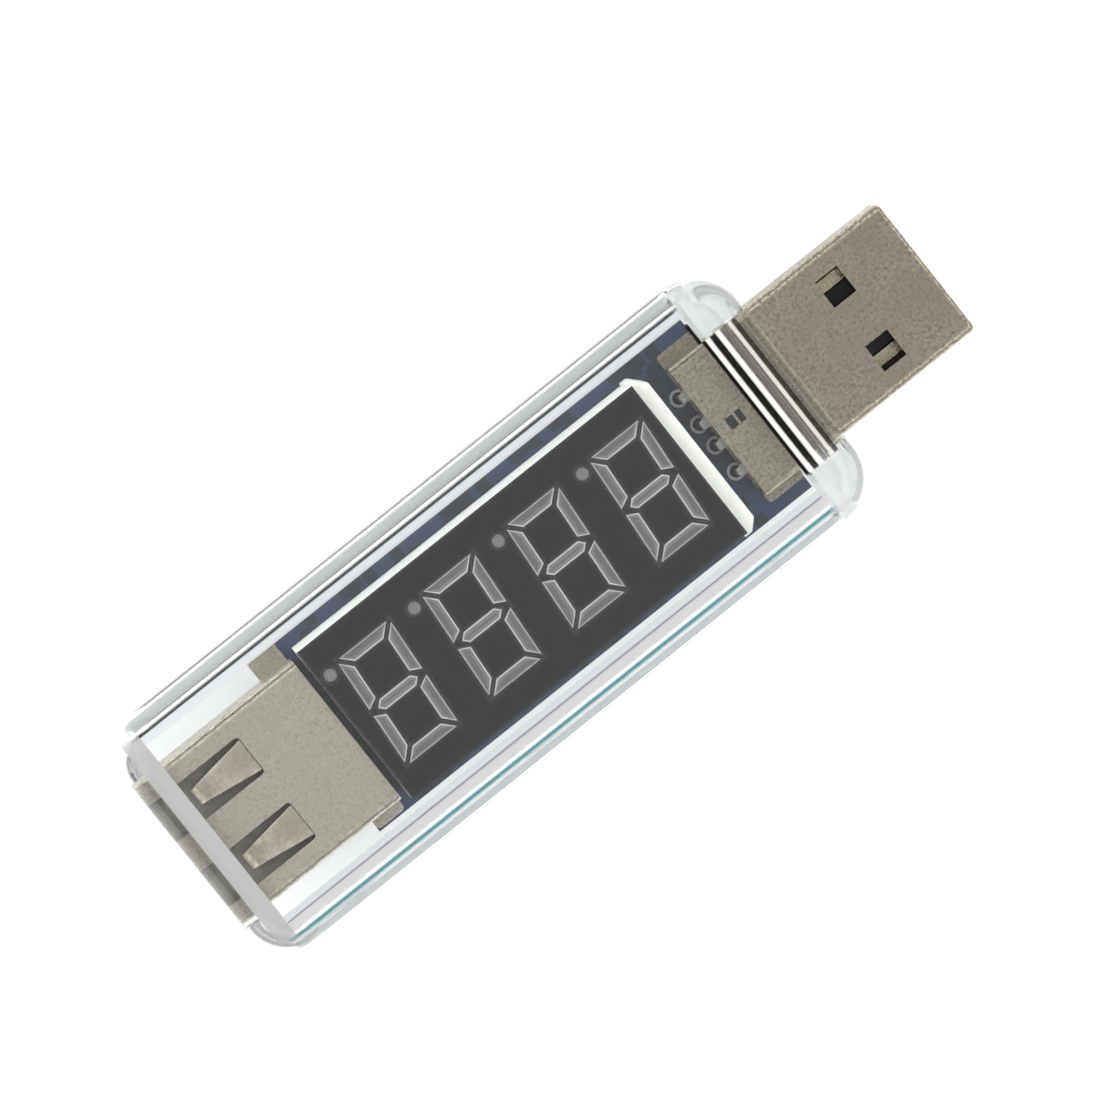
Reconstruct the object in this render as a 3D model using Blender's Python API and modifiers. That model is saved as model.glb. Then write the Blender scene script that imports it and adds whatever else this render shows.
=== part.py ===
"""A USB power meter: a clear two-part case with a USB plug at one end and a USB socket at the other.

Inside it a circuit board carries a four-digit LED display on top and the measuring parts underneath. The
retention tongues and the contact leaves of the socket are pieces of their own, hinged at their roots.

All sizes are in metres. The case frame has its origin under the middle of the case, +X towards the plug, +Z up
through the display. Everything is parented to an empty there, so the world origin is the middle of the whole
object's underside.
"""

import math

import bmesh
import bpy
from mathutils import Matrix, Vector

MM = 0.001

# Clearances
FIT_GAP = 0.05 * MM  # between pieces that touch on the real object
SLIDE_GAP = 0.15 * MM  # round the plug where it leaves the case
EMBED = 0.3 * MM  # how far a rib or rail reaches into the wall that it grows from
CUT_PAST = 0.5 * MM  # how far a cutter reaches past the face that it cuts

# Case
CASE_PLAN_RADIUS = 4.0 * MM
CASE_EDGE_RADIUS = 2.75 * MM
CASE_SIDE_WALL = 1.5 * MM
CASE_FLAT_WALL = 1.2 * MM
SOCKET_END_WALL = 2.0 * MM
PLUG_END_WALL = 2.1 * MM
CAVITY_EDGE_RADIUS = 0.4 * MM
LIP_THICKNESS = 0.6 * MM
LIP_HEIGHT = 0.6 * MM
RIB_THICKNESS = 0.7 * MM
RIB_TO_END_WALL = 1.0 * MM
RAIL_UNDER_BOARD = 1.0 * MM
DISPLAY_TO_CEILING = 0.2 * MM
BOARD_SIDE_ROOM = 1.5 * MM
UNDER_BOARD_ROOM = 1.7 * MM

# Circuit board
BOARD_WIDTH = 16.0 * MM
BOARD_THICKNESS = 1.0 * MM
BOARD_UNDER_SOCKET = 2.8 * MM
BOARD_TO_RIB = 0.15 * MM
PIN_HOLE_RADIUS = 0.45 * MM
PIN_BELOW_BOARD = 0.7 * MM

# Sheet-metal plug
PLUG_REACH = 12.8 * MM  # beyond the case
PLUG_INSIDE = 7.3 * MM  # inside the case
PLUG_WIDTH = 12.0 * MM
PLUG_HEIGHT = 4.5 * MM
SHEET = 0.3 * MM
SHELL_CORNER_RADIUS = 0.6 * MM
PLUG_TIP_RADIUS = 0.35 * MM
LATCH_TO_TIP = 6.35 * MM
LATCH_LENGTH = 2.1 * MM
LATCH_WIDTH = 2.4 * MM
LATCH_SPACING = 6.1 * MM
PLUG_FOOT_LENGTH = 3.4 * MM
PLUG_FOOT_WIDTH = 1.0 * MM
STAMP_CENTRE = 1.8 * MM  # from the plug's rear edge
STAMP_LENGTHS = (0.7 * MM, 0.5 * MM)
STAMP_WIDTH = 1.0 * MM
STAMP_BRIDGE = 0.2 * MM
PLUG_TONGUE_HEIGHT = 1.95 * MM
PLUG_TONGUE_BEHIND_TIP = 0.8 * MM
PLUG_BLOCK_BEHIND_TIP = 9.2 * MM
PLUG_BLOCK_REAR_INSET = 0.2 * MM

# Contacts, shared by plug and socket
CONTACT_WIDTH = 1.0 * MM
CONTACT_THICKNESS = 0.2 * MM
CONTACT_INNER_OFFSET = 1.0 * MM
CONTACT_OUTER_OFFSET = 3.5 * MM
CONTACT_PROUD = 0.1 * MM
CONTACT_BEHIND_TONGUE_TIP = 0.6 * MM
LEG_BEHIND_PLUG = 0.45 * MM
LEG_WIDTH = 0.6 * MM

# Sheet-metal socket
SOCKET_LENGTH = 15.2 * MM
SOCKET_PLAY_WIDE = 0.25 * MM  # beside a plug
SOCKET_PLAY_HIGH = 0.31 * MM  # above and below a plug
SOCKET_FLARE = 0.25 * MM
SOCKET_FLARE_LENGTH = 0.6 * MM
SOCKET_MOUTH_INSET = 0.2 * MM
SOCKET_OPENING_GAP = 0.1 * MM
SOCKET_FOOT_LENGTH = 2.6 * MM
SOCKET_FOOT_WIDTH = 1.25 * MM
SOCKET_FOOT_FROM_REAR = 0.2 * MM
SOCKET_FLOOR_CUT_LENGTH = 2.5 * MM
SOCKET_FLOOR_CUT_WIDTH = 10.6 * MM
SOCKET_TONGUE_WIDTH = 11.1 * MM
TONGUE_TO_TONGUE = 0.11 * MM  # what the tongues of a plug and a socket leave free between them
SOCKET_TONGUE_BEHIND_MOUTH = 1.8 * MM
SOCKET_BLOCK_FROM_REAR = 1.0 * MM
SOCKET_BLOCK_LENGTH = 2.2 * MM
LEAF_GROOVE_WIDTH = 1.3 * MM
LEAF_GROOVE_DEPTH = 1.0 * MM
LEAF_ROOT_ABOVE_FACE = 0.38 * MM
LEAF_BOW_BELOW_FACE = 0.2 * MM
LEAF_BOW_LENGTH = 7.0 * MM
LEAF_TIP_LENGTH = 8.9 * MM
LEAF_TIP_ABOVE_FACE = 0.18 * MM
TAIL_BEHIND_BLOCK = 0.25 * MM

# Retention tongues, lanced out of the socket shell
SPRING_LENGTH = 5.4 * MM
SPRING_WINDOW_WIDTH = 3.4 * MM
BOTTOM_WINDOW_FROM_MOUTH = 1.2 * MM  # the upper windows run out at the mouth
SPRING_ROOT_FROM_MOUTH = 8.5 * MM
SPRING_SPACING = 6.2 * MM
SPRING_ROOT_WIDTH = 2.8 * MM
SPRING_TIP_WIDTH = 1.3 * MM
SPRING_SHEET = 0.28 * MM
SPRING_PRELOAD = 0.14 * MM

# Display
DISPLAY_ENDS = 0.1 * MM  # how much shorter the display is than its digits' pitches
DISPLAY_WIDTH = 14.0 * MM
DISPLAY_HEIGHT = 7.0 * MM
SOCKET_TO_DISPLAY = 0.6 * MM
DISPLAY_TO_PLUG = 3.0 * MM
DISPLAY_STAND_OFF = 0.1 * MM
DISPLAY_WALL = 0.8 * MM
DISPLAY_DECK = 1.5 * MM
FACE_THICKNESS = 0.2 * MM
RESIN_SLAB = 1.0 * MM
RESIN_BELOW_FACE = 0.05 * MM
SUBSTRATE_THICKNESS = 1.0 * MM
SUBSTRATE_UP = 1.6 * MM
BEZEL_LENGTH = 1.1 * MM
BEZEL_DROP = 0.5 * MM
BEZEL_WIDTH = 13.2 * MM
FOOT_LENGTH = 1.5 * MM
FOOT_WIDTH = 2.0 * MM
FOOT_DROP = 0.9 * MM
FOOT_OUTWARD = 0.3 * MM

# Digits, each an eight of seven bars with a point at its upper left
DIGIT_COUNT = 4
DIGIT_SPACE = 2.9 * MM  # between one digit and the next
DIGITS_FROM_MIDDLE = 0.15 * MM
DIGIT_WIDTH = 5.1 * MM
DIGIT_HEIGHT = 9.5 * MM
BAR_WIDTH = 1.0 * MM
BAR_GAP = 0.28 * MM
DIGIT_SLANT = math.radians(4.5)
POINT_RADIUS = 0.58 * MM
POINT_FROM_DIGIT = 0.6 * MM
POINT_BELOW_TOP = 0.6 * MM
POINT_SIDES = 10
WINDOW_CLEARANCE = 0.05 * MM

# Display pins
PINS_PER_ROW = 6
PIN_PITCH = 2.54 * MM
PIN_ROW_SPACING = 10.16 * MM
PIN_WIDTH = 0.5 * MM
PIN_INTO_SUBSTRATE = 0.6 * MM

# Corner smoothness, in segments a quarter turn
CASE_SEGMENTS = 5
SHELL_SEGMENTS = 3

# Sizes that follow from the pieces inside
SOCKET_WIDTH = PLUG_WIDTH + 2 * (SOCKET_PLAY_WIDE + SHEET)
SOCKET_HEIGHT = PLUG_HEIGHT + 2 * (SOCKET_PLAY_HIGH + SHEET)
SOCKET_TONGUE_HEIGHT = PLUG_HEIGHT - 2 * SHEET - PLUG_TONGUE_HEIGHT - TONGUE_TO_TONGUE
SPRING_BUMP_DEPTH = SOCKET_PLAY_HIGH + SPRING_PRELOAD
DIGIT_PITCH = DIGIT_WIDTH + DIGIT_SPACE
DISPLAY_LENGTH = DIGIT_COUNT * DIGIT_PITCH - DISPLAY_ENDS
BOARD_BOTTOM_Z = CASE_FLAT_WALL + UNDER_BOARD_ROOM
BOARD_TOP_Z = BOARD_BOTTOM_Z + BOARD_THICKNESS
DISPLAY_BOTTOM_Z = BOARD_TOP_Z + DISPLAY_STAND_OFF
FACE_TOP_Z = DISPLAY_BOTTOM_Z + DISPLAY_HEIGHT
CEILING_Z = FACE_TOP_Z + DISPLAY_TO_CEILING
CASE_LENGTH = SOCKET_LENGTH + SOCKET_TO_DISPLAY + DISPLAY_LENGTH + DISPLAY_TO_PLUG + PLUG_INSIDE
CASE_WIDTH = BOARD_WIDTH + 2 * (BOARD_SIDE_ROOM + CASE_SIDE_WALL)
CASE_HEIGHT = CEILING_Z + CASE_FLAT_WALL

# Places in the case frame
CASE_X = -PLUG_REACH / 2
REAR_X = -CASE_LENGTH / 2
FRONT_X = CASE_LENGTH / 2
END_WALL_X = FRONT_X - PLUG_END_WALL
RIB_FRONT_X = END_WALL_X - RIB_TO_END_WALL
RIB_REAR_X = RIB_FRONT_X - RIB_THICKNESS
ON_BOARD_Z = BOARD_TOP_Z + FIT_GAP
UNDER_BOARD_Z = BOARD_BOTTOM_Z - FIT_GAP
PIN_END_Z = BOARD_BOTTOM_Z - PIN_BELOW_BOARD
CAVITY_HALF_WIDTH = CASE_WIDTH / 2 - CASE_SIDE_WALL
PLUG_REAR_X = FRONT_X - PLUG_INSIDE
PLUG_TIP_X = FRONT_X + PLUG_REACH
PLUG_TOP_Z = ON_BOARD_Z + PLUG_HEIGHT
PLUG_TONGUE_TOP_Z = ON_BOARD_Z + SHEET + FIT_GAP + PLUG_TONGUE_HEIGHT
CASE_SPLIT_Z = ON_BOARD_Z + PLUG_HEIGHT / 2
SOCKET_REAR_X = REAR_X + SOCKET_LENGTH
SOCKET_TOP_Z = ON_BOARD_Z + SOCKET_HEIGHT
SOCKET_CENTRE_Z = ON_BOARD_Z + SOCKET_HEIGHT / 2
SOCKET_FACE_Z = SOCKET_CENTRE_Z - PLUG_HEIGHT / 2 + SHEET + PLUG_TONGUE_HEIGHT + TONGUE_TO_TONGUE / 2
SOCKET_BLOCK_REAR_X = SOCKET_REAR_X - SOCKET_BLOCK_FROM_REAR
SOCKET_BLOCK_FRONT_X = SOCKET_BLOCK_REAR_X - SOCKET_BLOCK_LENGTH
SPRING_ROOT_X = REAR_X + SPRING_ROOT_FROM_MOUTH
BOARD_FRONT_X = RIB_REAR_X - BOARD_TO_RIB
BOARD_REAR_X = SOCKET_REAR_X - BOARD_UNDER_SOCKET
DISPLAY_REAR_X = SOCKET_REAR_X + SOCKET_TO_DISPLAY
DISPLAY_FRONT_X = DISPLAY_REAR_X + DISPLAY_LENGTH
DISPLAY_X = (DISPLAY_REAR_X + DISPLAY_FRONT_X) / 2
FACE_BOTTOM_Z = FACE_TOP_Z - FACE_THICKNESS
HOUSING_TOP_Z = FACE_BOTTOM_Z - FIT_GAP
DECK_BOTTOM_Z = HOUSING_TOP_Z - DISPLAY_DECK
RESIN_TOP_Z = FACE_TOP_Z - RESIN_BELOW_FACE
SUBSTRATE_BOTTOM_Z = DISPLAY_BOTTOM_Z + SUBSTRATE_UP
CONTACT_OFFSETS = (-CONTACT_OUTER_OFFSET, -CONTACT_INNER_OFFSET, CONTACT_INNER_OFFSET, CONTACT_OUTER_OFFSET)
SPRING_OFFSETS = (-SPRING_SPACING / 2, SPRING_SPACING / 2)


def clear_scene():
    """Removes every object that the file starts with."""
    for item in list(bpy.data.objects):
        bpy.data.objects.remove(item, do_unlink=True)


def new_collection(name):
    """Returns a new collection linked to the scene."""
    collection = bpy.data.collections.new(name)
    bpy.context.scene.collection.children.link(collection)
    return collection


def new_material(name, colour, roughness, metallic=0.0, alpha=1.0):
    """Returns a Principled material of a plain colour."""
    material = bpy.data.materials.new(name)
    material.use_nodes = True
    shader = material.node_tree.nodes["Principled BSDF"]
    shader.inputs["Base Color"].default_value = (*colour, 1.0)
    shader.inputs["Roughness"].default_value = roughness
    shader.inputs["Metallic"].default_value = metallic
    shader.inputs["Alpha"].default_value = alpha
    material.diffuse_color = (*colour, alpha)
    return material


clear_scene()
PARTS = new_collection("usb_power_meter")
CUTTERS = new_collection("cutters")
FRAME = bpy.data.objects.new("case_frame", None)
FRAME.location = (CASE_X, 0, 0)
PARTS.objects.link(FRAME)

CLEAR = new_material("clear_plastic", (0.9, 0.93, 0.94), 0.08, alpha=0.3)
SHELL_METAL = new_material("plated_steel", (0.52, 0.49, 0.44), 0.35, metallic=1.0)
SPRING_METAL = new_material("spring_steel", (0.6, 0.57, 0.52), 0.3, metallic=1.0)
CONTACT_METAL = new_material("gold_plate", (0.83, 0.65, 0.32), 0.3, metallic=1.0)
TINNED = new_material("tinned_brass", (0.72, 0.72, 0.7), 0.3, metallic=1.0)
INSULATOR = new_material("black_nylon", (0.02, 0.02, 0.022), 0.5)
BOARD = new_material("blue_board", (0.02, 0.05, 0.13), 0.35)
HOUSING = new_material("display_white", (0.75, 0.75, 0.72), 0.45)
FACE = new_material("display_grey", (0.06, 0.06, 0.065), 0.5)
RESIN = new_material("segment_grey", (0.4, 0.4, 0.38), 0.4)
SUBSTRATE = new_material("display_board", (0.45, 0.4, 0.2), 0.5)
CHIP = new_material("chip_black", (0.015, 0.015, 0.017), 0.5)
CERAMIC = new_material("ceramic_tan", (0.45, 0.3, 0.16), 0.5)


def finish(name, bm, origin, material=None, smooth_degrees=None):
    """Returns an object whose mesh is bm about origin, both in the case frame. Without material it is a cutter."""
    bmesh.ops.translate(bm, verts=bm.verts, vec=-Vector(origin))
    if all(edge.is_manifold for edge in bm.edges):
        bmesh.ops.recalc_face_normals(bm, faces=bm.faces)
    mesh = bpy.data.meshes.new(name)
    bm.to_mesh(mesh)
    bm.free()
    return place(name, mesh, origin, material, smooth_degrees)


def place(name, mesh, origin, material=None, smooth_degrees=None):
    """Returns an object that holds mesh at origin in the case frame. Without material it is a cutter."""
    item = bpy.data.objects.new(name, mesh)
    item.location = origin
    item.parent = FRAME
    if material is None:
        CUTTERS.objects.link(item)
        item.hide_render = True
        item.display_type = "WIRE"
        return item
    PARTS.objects.link(item)
    mesh.materials.append(material)
    if smooth_degrees is not None:
        mesh.shade_smooth()
        mesh.set_sharp_from_angle(angle=math.radians(smooth_degrees))
    return item


def boolean(item, other, operation="DIFFERENCE"):
    """Cuts other out of item, or joins it to item."""
    modifier = item.modifiers.new(f"{operation.lower()}_{other.name}", "BOOLEAN")
    modifier.operation = operation
    modifier.object = other


def add_box(bm, low, high):
    """Adds a box between two corners and returns its vertices."""
    low, high = Vector(low), Vector(high)
    place_and_size = Matrix.Translation((low + high) / 2) @ Matrix.Diagonal((*(high - low), 1.0))
    return bmesh.ops.create_cube(bm, size=1.0, matrix=place_and_size)["verts"]


def round_edges(bm, edges, radius, segments):
    """Rounds edges to radius."""
    bmesh.ops.bevel(
        bm,
        geom=edges,
        offset=radius,
        offset_type="OFFSET",
        affect="EDGES",
        segments=segments,
        profile=0.5,
        clamp_overlap=True,
    )


def edges_along(bm, axis):
    """The edges that run along one axis, given as 0, 1 or 2."""
    others = [i for i in range(3) if i != axis]
    return [e for e in bm.edges if all(abs(e.verts[0].co[i] - e.verts[1].co[i]) < MM / 1000 for i in others)]


def edges_at(bm, axis, value):
    """The edges that lie in the plane where one coordinate has this value."""
    return [e for e in bm.edges if all(abs(v.co[axis] - value) < MM / 1000 for v in e.verts)]


def faces_at(bm, axis, value):
    """The faces that lie in the plane where one coordinate has this value."""
    return [f for f in bm.faces if all(abs(v.co[axis] - value) < MM / 1000 for v in f.verts)]


def open_ends(bm, places):
    """Turns the faces of a closed tube outwards, then removes those at these places along x."""
    bmesh.ops.recalc_face_normals(bm, faces=bm.faces)
    ends = [face for x in places for face in faces_at(bm, 0, x)]
    bmesh.ops.delete(bm, geom=ends, context="FACES_ONLY")


def add_sheet(item):
    """Gives an open surface the thickness of the sheet metal, inwards."""
    solidify = item.modifiers.new("sheet", "SOLIDIFY")
    solidify.thickness = SHEET
    solidify.offset = -1
    solidify.use_even_offset = True


def add_feet(shell, half, front_x, rear_x, width):
    """Joins a flat solder foot to each side of a shell of this half width, along its lower edge."""
    for side, word in ((-1, "right"), (1, "left")):
        y = sorted((side * (half - SHEET / 2), side * (half + width)))
        low = (rear_x, y[0], ON_BOARD_Z)
        high = (front_x, y[1], ON_BOARD_Z + SHELL_CORNER_RADIUS + SHEET)
        foot = box_cutter(f"{shell.name}_foot_{word}", low, high)
        trim = sorted((side * (half + FIT_GAP), side * (half + width + CUT_PAST)))
        low = (rear_x - CUT_PAST, trim[0], ON_BOARD_Z + SHEET)
        high = (front_x + CUT_PAST, trim[1], high[2] + CUT_PAST)
        boolean(foot, box_cutter(f"{shell.name}_foot_trim_{word}", low, high))
        boolean(shell, foot, "UNION")


def rounded_block(low, high, plan_radius, edge_radius, segments, round_top, round_bottom):
    """A block with round corners in plan, and round edges at its top, its bottom or both."""
    bm = bmesh.new()
    add_box(bm, low, high)
    round_edges(bm, edges_along(bm, 2), plan_radius, segments)
    if round_top:
        round_edges(bm, edges_at(bm, 2, high[2]), edge_radius, segments)
    if round_bottom:
        round_edges(bm, edges_at(bm, 2, low[2]), edge_radius, segments)
    return bm


def box_cutter(name, low, high):
    """A plain box that cuts or joins."""
    bm = bmesh.new()
    add_box(bm, low, high)
    return finish(name, bm, (Vector(low) + Vector(high)) / 2)


def boxes(name, corners, origin, material=None):
    """One object of separate boxes, each given by its low and high corner."""
    bm = bmesh.new()
    for low, high in corners:
        add_box(bm, low, high)
    return finish(name, bm, origin, material)


def ribbon(name, stations, thickness, origin, material):
    """A bent strip of sheet. Each station is (x, z, half width), from the root on, in the case frame about y = 0."""
    x, z, half = stations[0]
    bm = bmesh.new()
    ends = [bm.verts.new((x, -half, z)), bm.verts.new((x, half, z))]
    edge = bm.edges.new(ends)
    for x, z, half in stations[1:]:
        edge = next(
            g
            for g in bmesh.ops.extrude_edge_only(bm, edges=[edge])["geom"]
            if isinstance(g, bmesh.types.BMEdge)
        )
        for vert in edge.verts:
            vert.co = (x, math.copysign(half, vert.co.y), z)
    bmesh.ops.translate(bm, verts=bm.verts, vec=(0, origin[1], 0))
    item = finish(name, bm, origin, material)
    solidify = item.modifiers.new("sheet", "SOLIDIFY")
    solidify.thickness = thickness
    solidify.offset = 0
    solidify.use_even_offset = True
    return item


# Case


def case_cavity(name, low_z, high_z):
    """The hollow of the case between two heights, with its edges round where the case is closed."""
    low = (REAR_X + SOCKET_END_WALL, -CAVITY_HALF_WIDTH, low_z)
    high = (END_WALL_X, CAVITY_HALF_WIDTH, high_z)
    radius = CASE_PLAN_RADIUS - CASE_SIDE_WALL
    bm = rounded_block(
        low, high, radius, CAVITY_EDGE_RADIUS, CASE_SEGMENTS, high_z < CASE_HEIGHT, low_z > 0
    )
    return finish(name, bm, (0, 0, (low_z + high_z) / 2))


def lip_block(name, gap, low_z, high_z):
    """A block as wide as the locating lip of the lower shell, with this gap round it."""
    spread = LIP_THICKNESS + gap
    low = (REAR_X + SOCKET_END_WALL - spread, -CAVITY_HALF_WIDTH - spread, low_z)
    high = (END_WALL_X + spread, CAVITY_HALF_WIDTH + spread, high_z)
    radius = CASE_PLAN_RADIUS - CASE_SIDE_WALL + spread
    bm = rounded_block(low, high, radius, 0, CASE_SEGMENTS, False, False)
    return finish(name, bm, (0, 0, (low_z + high_z) / 2))


def plug_opening():
    """What the plug passes through, in the end wall and the rib."""
    half = PLUG_WIDTH / 2 + SLIDE_GAP
    low = (RIB_REAR_X - CUT_PAST, -half, ON_BOARD_Z - SLIDE_GAP)
    high = (FRONT_X + CUT_PAST, half, PLUG_TOP_Z + SLIDE_GAP)
    return box_cutter("plug_opening", low, high)


def socket_opening():
    """What the socket's mouth sits in, in the end wall."""
    spread = SOCKET_FLARE + SOCKET_OPENING_GAP
    half = SOCKET_WIDTH / 2 + spread
    low = (REAR_X - CUT_PAST, -half, ON_BOARD_Z - spread)
    high = (REAR_X + SOCKET_END_WALL + CUT_PAST, half, SOCKET_TOP_Z + spread)
    return box_cutter("socket_opening", low, high)


def rib_block(name, low_z, high_z):
    """The rib that the plug's solder feet stop against."""
    half = CAVITY_HALF_WIDTH + EMBED
    return box_cutter(name, (RIB_REAR_X, -half, low_z), (RIB_FRONT_X, half, high_z))


def build_case(openings):
    """The two clear shells."""
    split_low = CASE_SPLIT_Z - FIT_GAP / 2
    split_high = CASE_SPLIT_Z + FIT_GAP / 2
    half_length, half_width = CASE_LENGTH / 2, CASE_WIDTH / 2

    low, high = (-half_length, -half_width, 0), (half_length, half_width, split_low)
    bm = rounded_block(low, high, CASE_PLAN_RADIUS, CASE_EDGE_RADIUS, CASE_SEGMENTS, False, True)
    bottom = finish("case_bottom", bm, (0, 0, 0), CLEAR, 35)
    lip_top = CASE_SPLIT_Z + LIP_HEIGHT
    boolean(bottom, lip_block("lip_outside", 0, split_low - CUT_PAST, lip_top), "UNION")
    boolean(bottom, case_cavity("cavity_bottom", CASE_FLAT_WALL, lip_top + CUT_PAST))
    boolean(bottom, rib_block("rib_bottom", CASE_FLAT_WALL - EMBED, split_low), "UNION")
    outer = CAVITY_HALF_WIDTH + EMBED
    inner = BOARD_WIDTH / 2 - RAIL_UNDER_BOARD
    rail_low, rail_high = CASE_FLAT_WALL - EMBED, UNDER_BOARD_Z
    for side, word in ((-1, "right"), (1, "left")):
        y = sorted((side * inner, side * outer))
        low, high = (BOARD_REAR_X, y[0], rail_low), (RIB_REAR_X + EMBED, y[1], rail_high)
        boolean(bottom, box_cutter(f"rail_{word}", low, high), "UNION")

    low, high = (-half_length, -half_width, split_high), (half_length, half_width, CASE_HEIGHT)
    bm = rounded_block(low, high, CASE_PLAN_RADIUS, CASE_EDGE_RADIUS, CASE_SEGMENTS, True, False)
    top = finish("case_top", bm, (0, 0, CASE_SPLIT_Z), CLEAR, 35)
    boolean(top, case_cavity("cavity_top", split_high - CUT_PAST, CEILING_Z))
    boolean(top, rib_block("rib_top", split_high, CEILING_Z + EMBED), "UNION")
    boolean(top, lip_block("lip_rebate", FIT_GAP, split_high - CUT_PAST, lip_top + FIT_GAP))

    for shell in (bottom, top):
        for opening in openings:
            boolean(shell, opening)


# Circuit board


def pin_places():
    """(x, y) of each display pin."""
    first = DISPLAY_X - PIN_PITCH * (PINS_PER_ROW - 1) / 2
    rows = (-PIN_ROW_SPACING / 2, PIN_ROW_SPACING / 2)
    return [(first + i * PIN_PITCH, y) for y in rows for i in range(PINS_PER_ROW)]


def plug_leg_x():
    """Where the plug's contact legs go down."""
    return PLUG_REAR_X - LEG_BEHIND_PLUG


def socket_leg_x():
    """Where the socket's contact legs go down."""
    return SOCKET_BLOCK_REAR_X + TAIL_BEHIND_BLOCK


def build_board():
    """The circuit board with a hole for every pin."""
    low = (BOARD_REAR_X, -BOARD_WIDTH / 2, BOARD_BOTTOM_Z)
    high = (BOARD_FRONT_X, BOARD_WIDTH / 2, BOARD_TOP_Z)
    board = boxes("circuit_board", [(low, high)], (Vector(low) + Vector(high)) / 2, BOARD)
    places = pin_places() + [(x, y) for x in (plug_leg_x(), socket_leg_x()) for y in CONTACT_OFFSETS]
    bm = bmesh.new()
    for x, y in places:
        bmesh.ops.create_cone(
            bm,
            cap_ends=True,
            segments=8,
            radius1=PIN_HOLE_RADIUS,
            radius2=PIN_HOLE_RADIUS,
            depth=BOARD_THICKNESS + 2 * CUT_PAST,
            matrix=Matrix.Translation((x, y, (BOARD_BOTTOM_Z + BOARD_TOP_Z) / 2)),
        )
    boolean(board, finish("board_holes", bm, (0, 0, BOARD_TOP_Z)))


# Display


def digit_outlines():
    """The outlines of one upright digit about its middle: seven bars and the point."""
    half_w, half_h, bar = DIGIT_WIDTH / 2, DIGIT_HEIGHT / 2, BAR_WIDTH
    gap = BAR_GAP / math.sqrt(2)
    top = [
        (-half_w + gap, half_h),
        (half_w - gap, half_h),
        (half_w - bar - gap, half_h - bar),
        (-half_w + bar + gap, half_h - bar),
    ]
    upper_left = [
        (-half_w, half_h - gap),
        (-half_w + bar, half_h - bar - gap),
        (-half_w + bar, bar / 2 + gap),
        (-half_w, gap),
    ]
    tip = half_w - bar / 2 - gap / 2
    middle = [
        (-tip, 0),
        (-tip + bar / 2, bar / 2),
        (tip - bar / 2, bar / 2),
        (tip, 0),
        (tip - bar / 2, -bar / 2),
        (-tip + bar / 2, -bar / 2),
    ]
    upper_right = [(-x, y) for x, y in upper_left]
    bars = [top, middle, upper_left, upper_right]
    bars += [[(x, -y) for x, y in outline] for outline in (top, upper_left, upper_right)]
    turns = [2 * math.pi * (i + 0.5) / POINT_SIDES for i in range(POINT_SIDES)]
    slant = math.tan(DIGIT_SLANT)
    slanted = [[(x + slant * y, y) for x, y in outline] for outline in bars]
    point_x = -half_w - POINT_FROM_DIGIT
    point_y = half_h - POINT_BELOW_TOP
    point = [(point_x + POINT_RADIUS * math.cos(a), point_y + POINT_RADIUS * math.sin(a)) for a in turns]
    return slanted + [point]


def inset(outline, distance):
    """A convex outline moved inwards by distance on every side."""
    corners = [Vector(p) for p in outline]
    middle = sum(corners, Vector((0, 0))) / len(corners)
    sides = []
    for i, corner in enumerate(corners):
        along = (corners[(i + 1) % len(corners)] - corner).normalized()
        inward = Vector((-along.y, along.x))
        if inward.dot(middle - corner) < 0:
            inward = -inward
        sides.append((corner + inward * distance, along))
    moved = []
    for i, (start, along) in enumerate(sides):
        before, before_along = sides[i - 1]
        cross = before_along.x * along.y - before_along.y * along.x
        step = start - before
        reach = (step.x * along.y - step.y * along.x) / cross
        moved.append(before + before_along * reach)
    return moved


def digit_prisms(name, distance, low_z, high_z):
    """Prisms on every bar and point of the display, their outlines inset by distance."""
    curve = bpy.data.curves.new(name, "CURVE")
    curve.dimensions = "2D"
    curve.fill_mode = "BOTH"
    curve.extrude = (high_z - low_z) / 2
    first = DIGITS_FROM_MIDDLE - DIGIT_PITCH * (DIGIT_COUNT - 1) / 2
    for i in range(DIGIT_COUNT):
        for outline in digit_outlines():
            spline = curve.splines.new("POLY")
            spline.points.add(len(outline) - 1)
            spline.use_cyclic_u = True
            for target, (x, y) in zip(spline.points, inset(outline, distance)):
                target.co = (x + first + i * DIGIT_PITCH, y, 0, 1)
    source = bpy.data.objects.new(f"{name}_curve", curve)
    CUTTERS.objects.link(source)
    depsgraph = bpy.context.evaluated_depsgraph_get()
    mesh = bpy.data.meshes.new_from_object(source.evaluated_get(depsgraph))
    bpy.data.objects.remove(source)
    bm = bmesh.new()
    bm.from_mesh(mesh)
    bpy.data.meshes.remove(mesh)
    bmesh.ops.remove_doubles(bm, verts=bm.verts, dist=MM / 1000)
    origin = (DISPLAY_X, 0, (low_z + high_z) / 2)
    bmesh.ops.translate(bm, verts=bm.verts, vec=origin)
    return finish(name, bm, origin)


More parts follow.
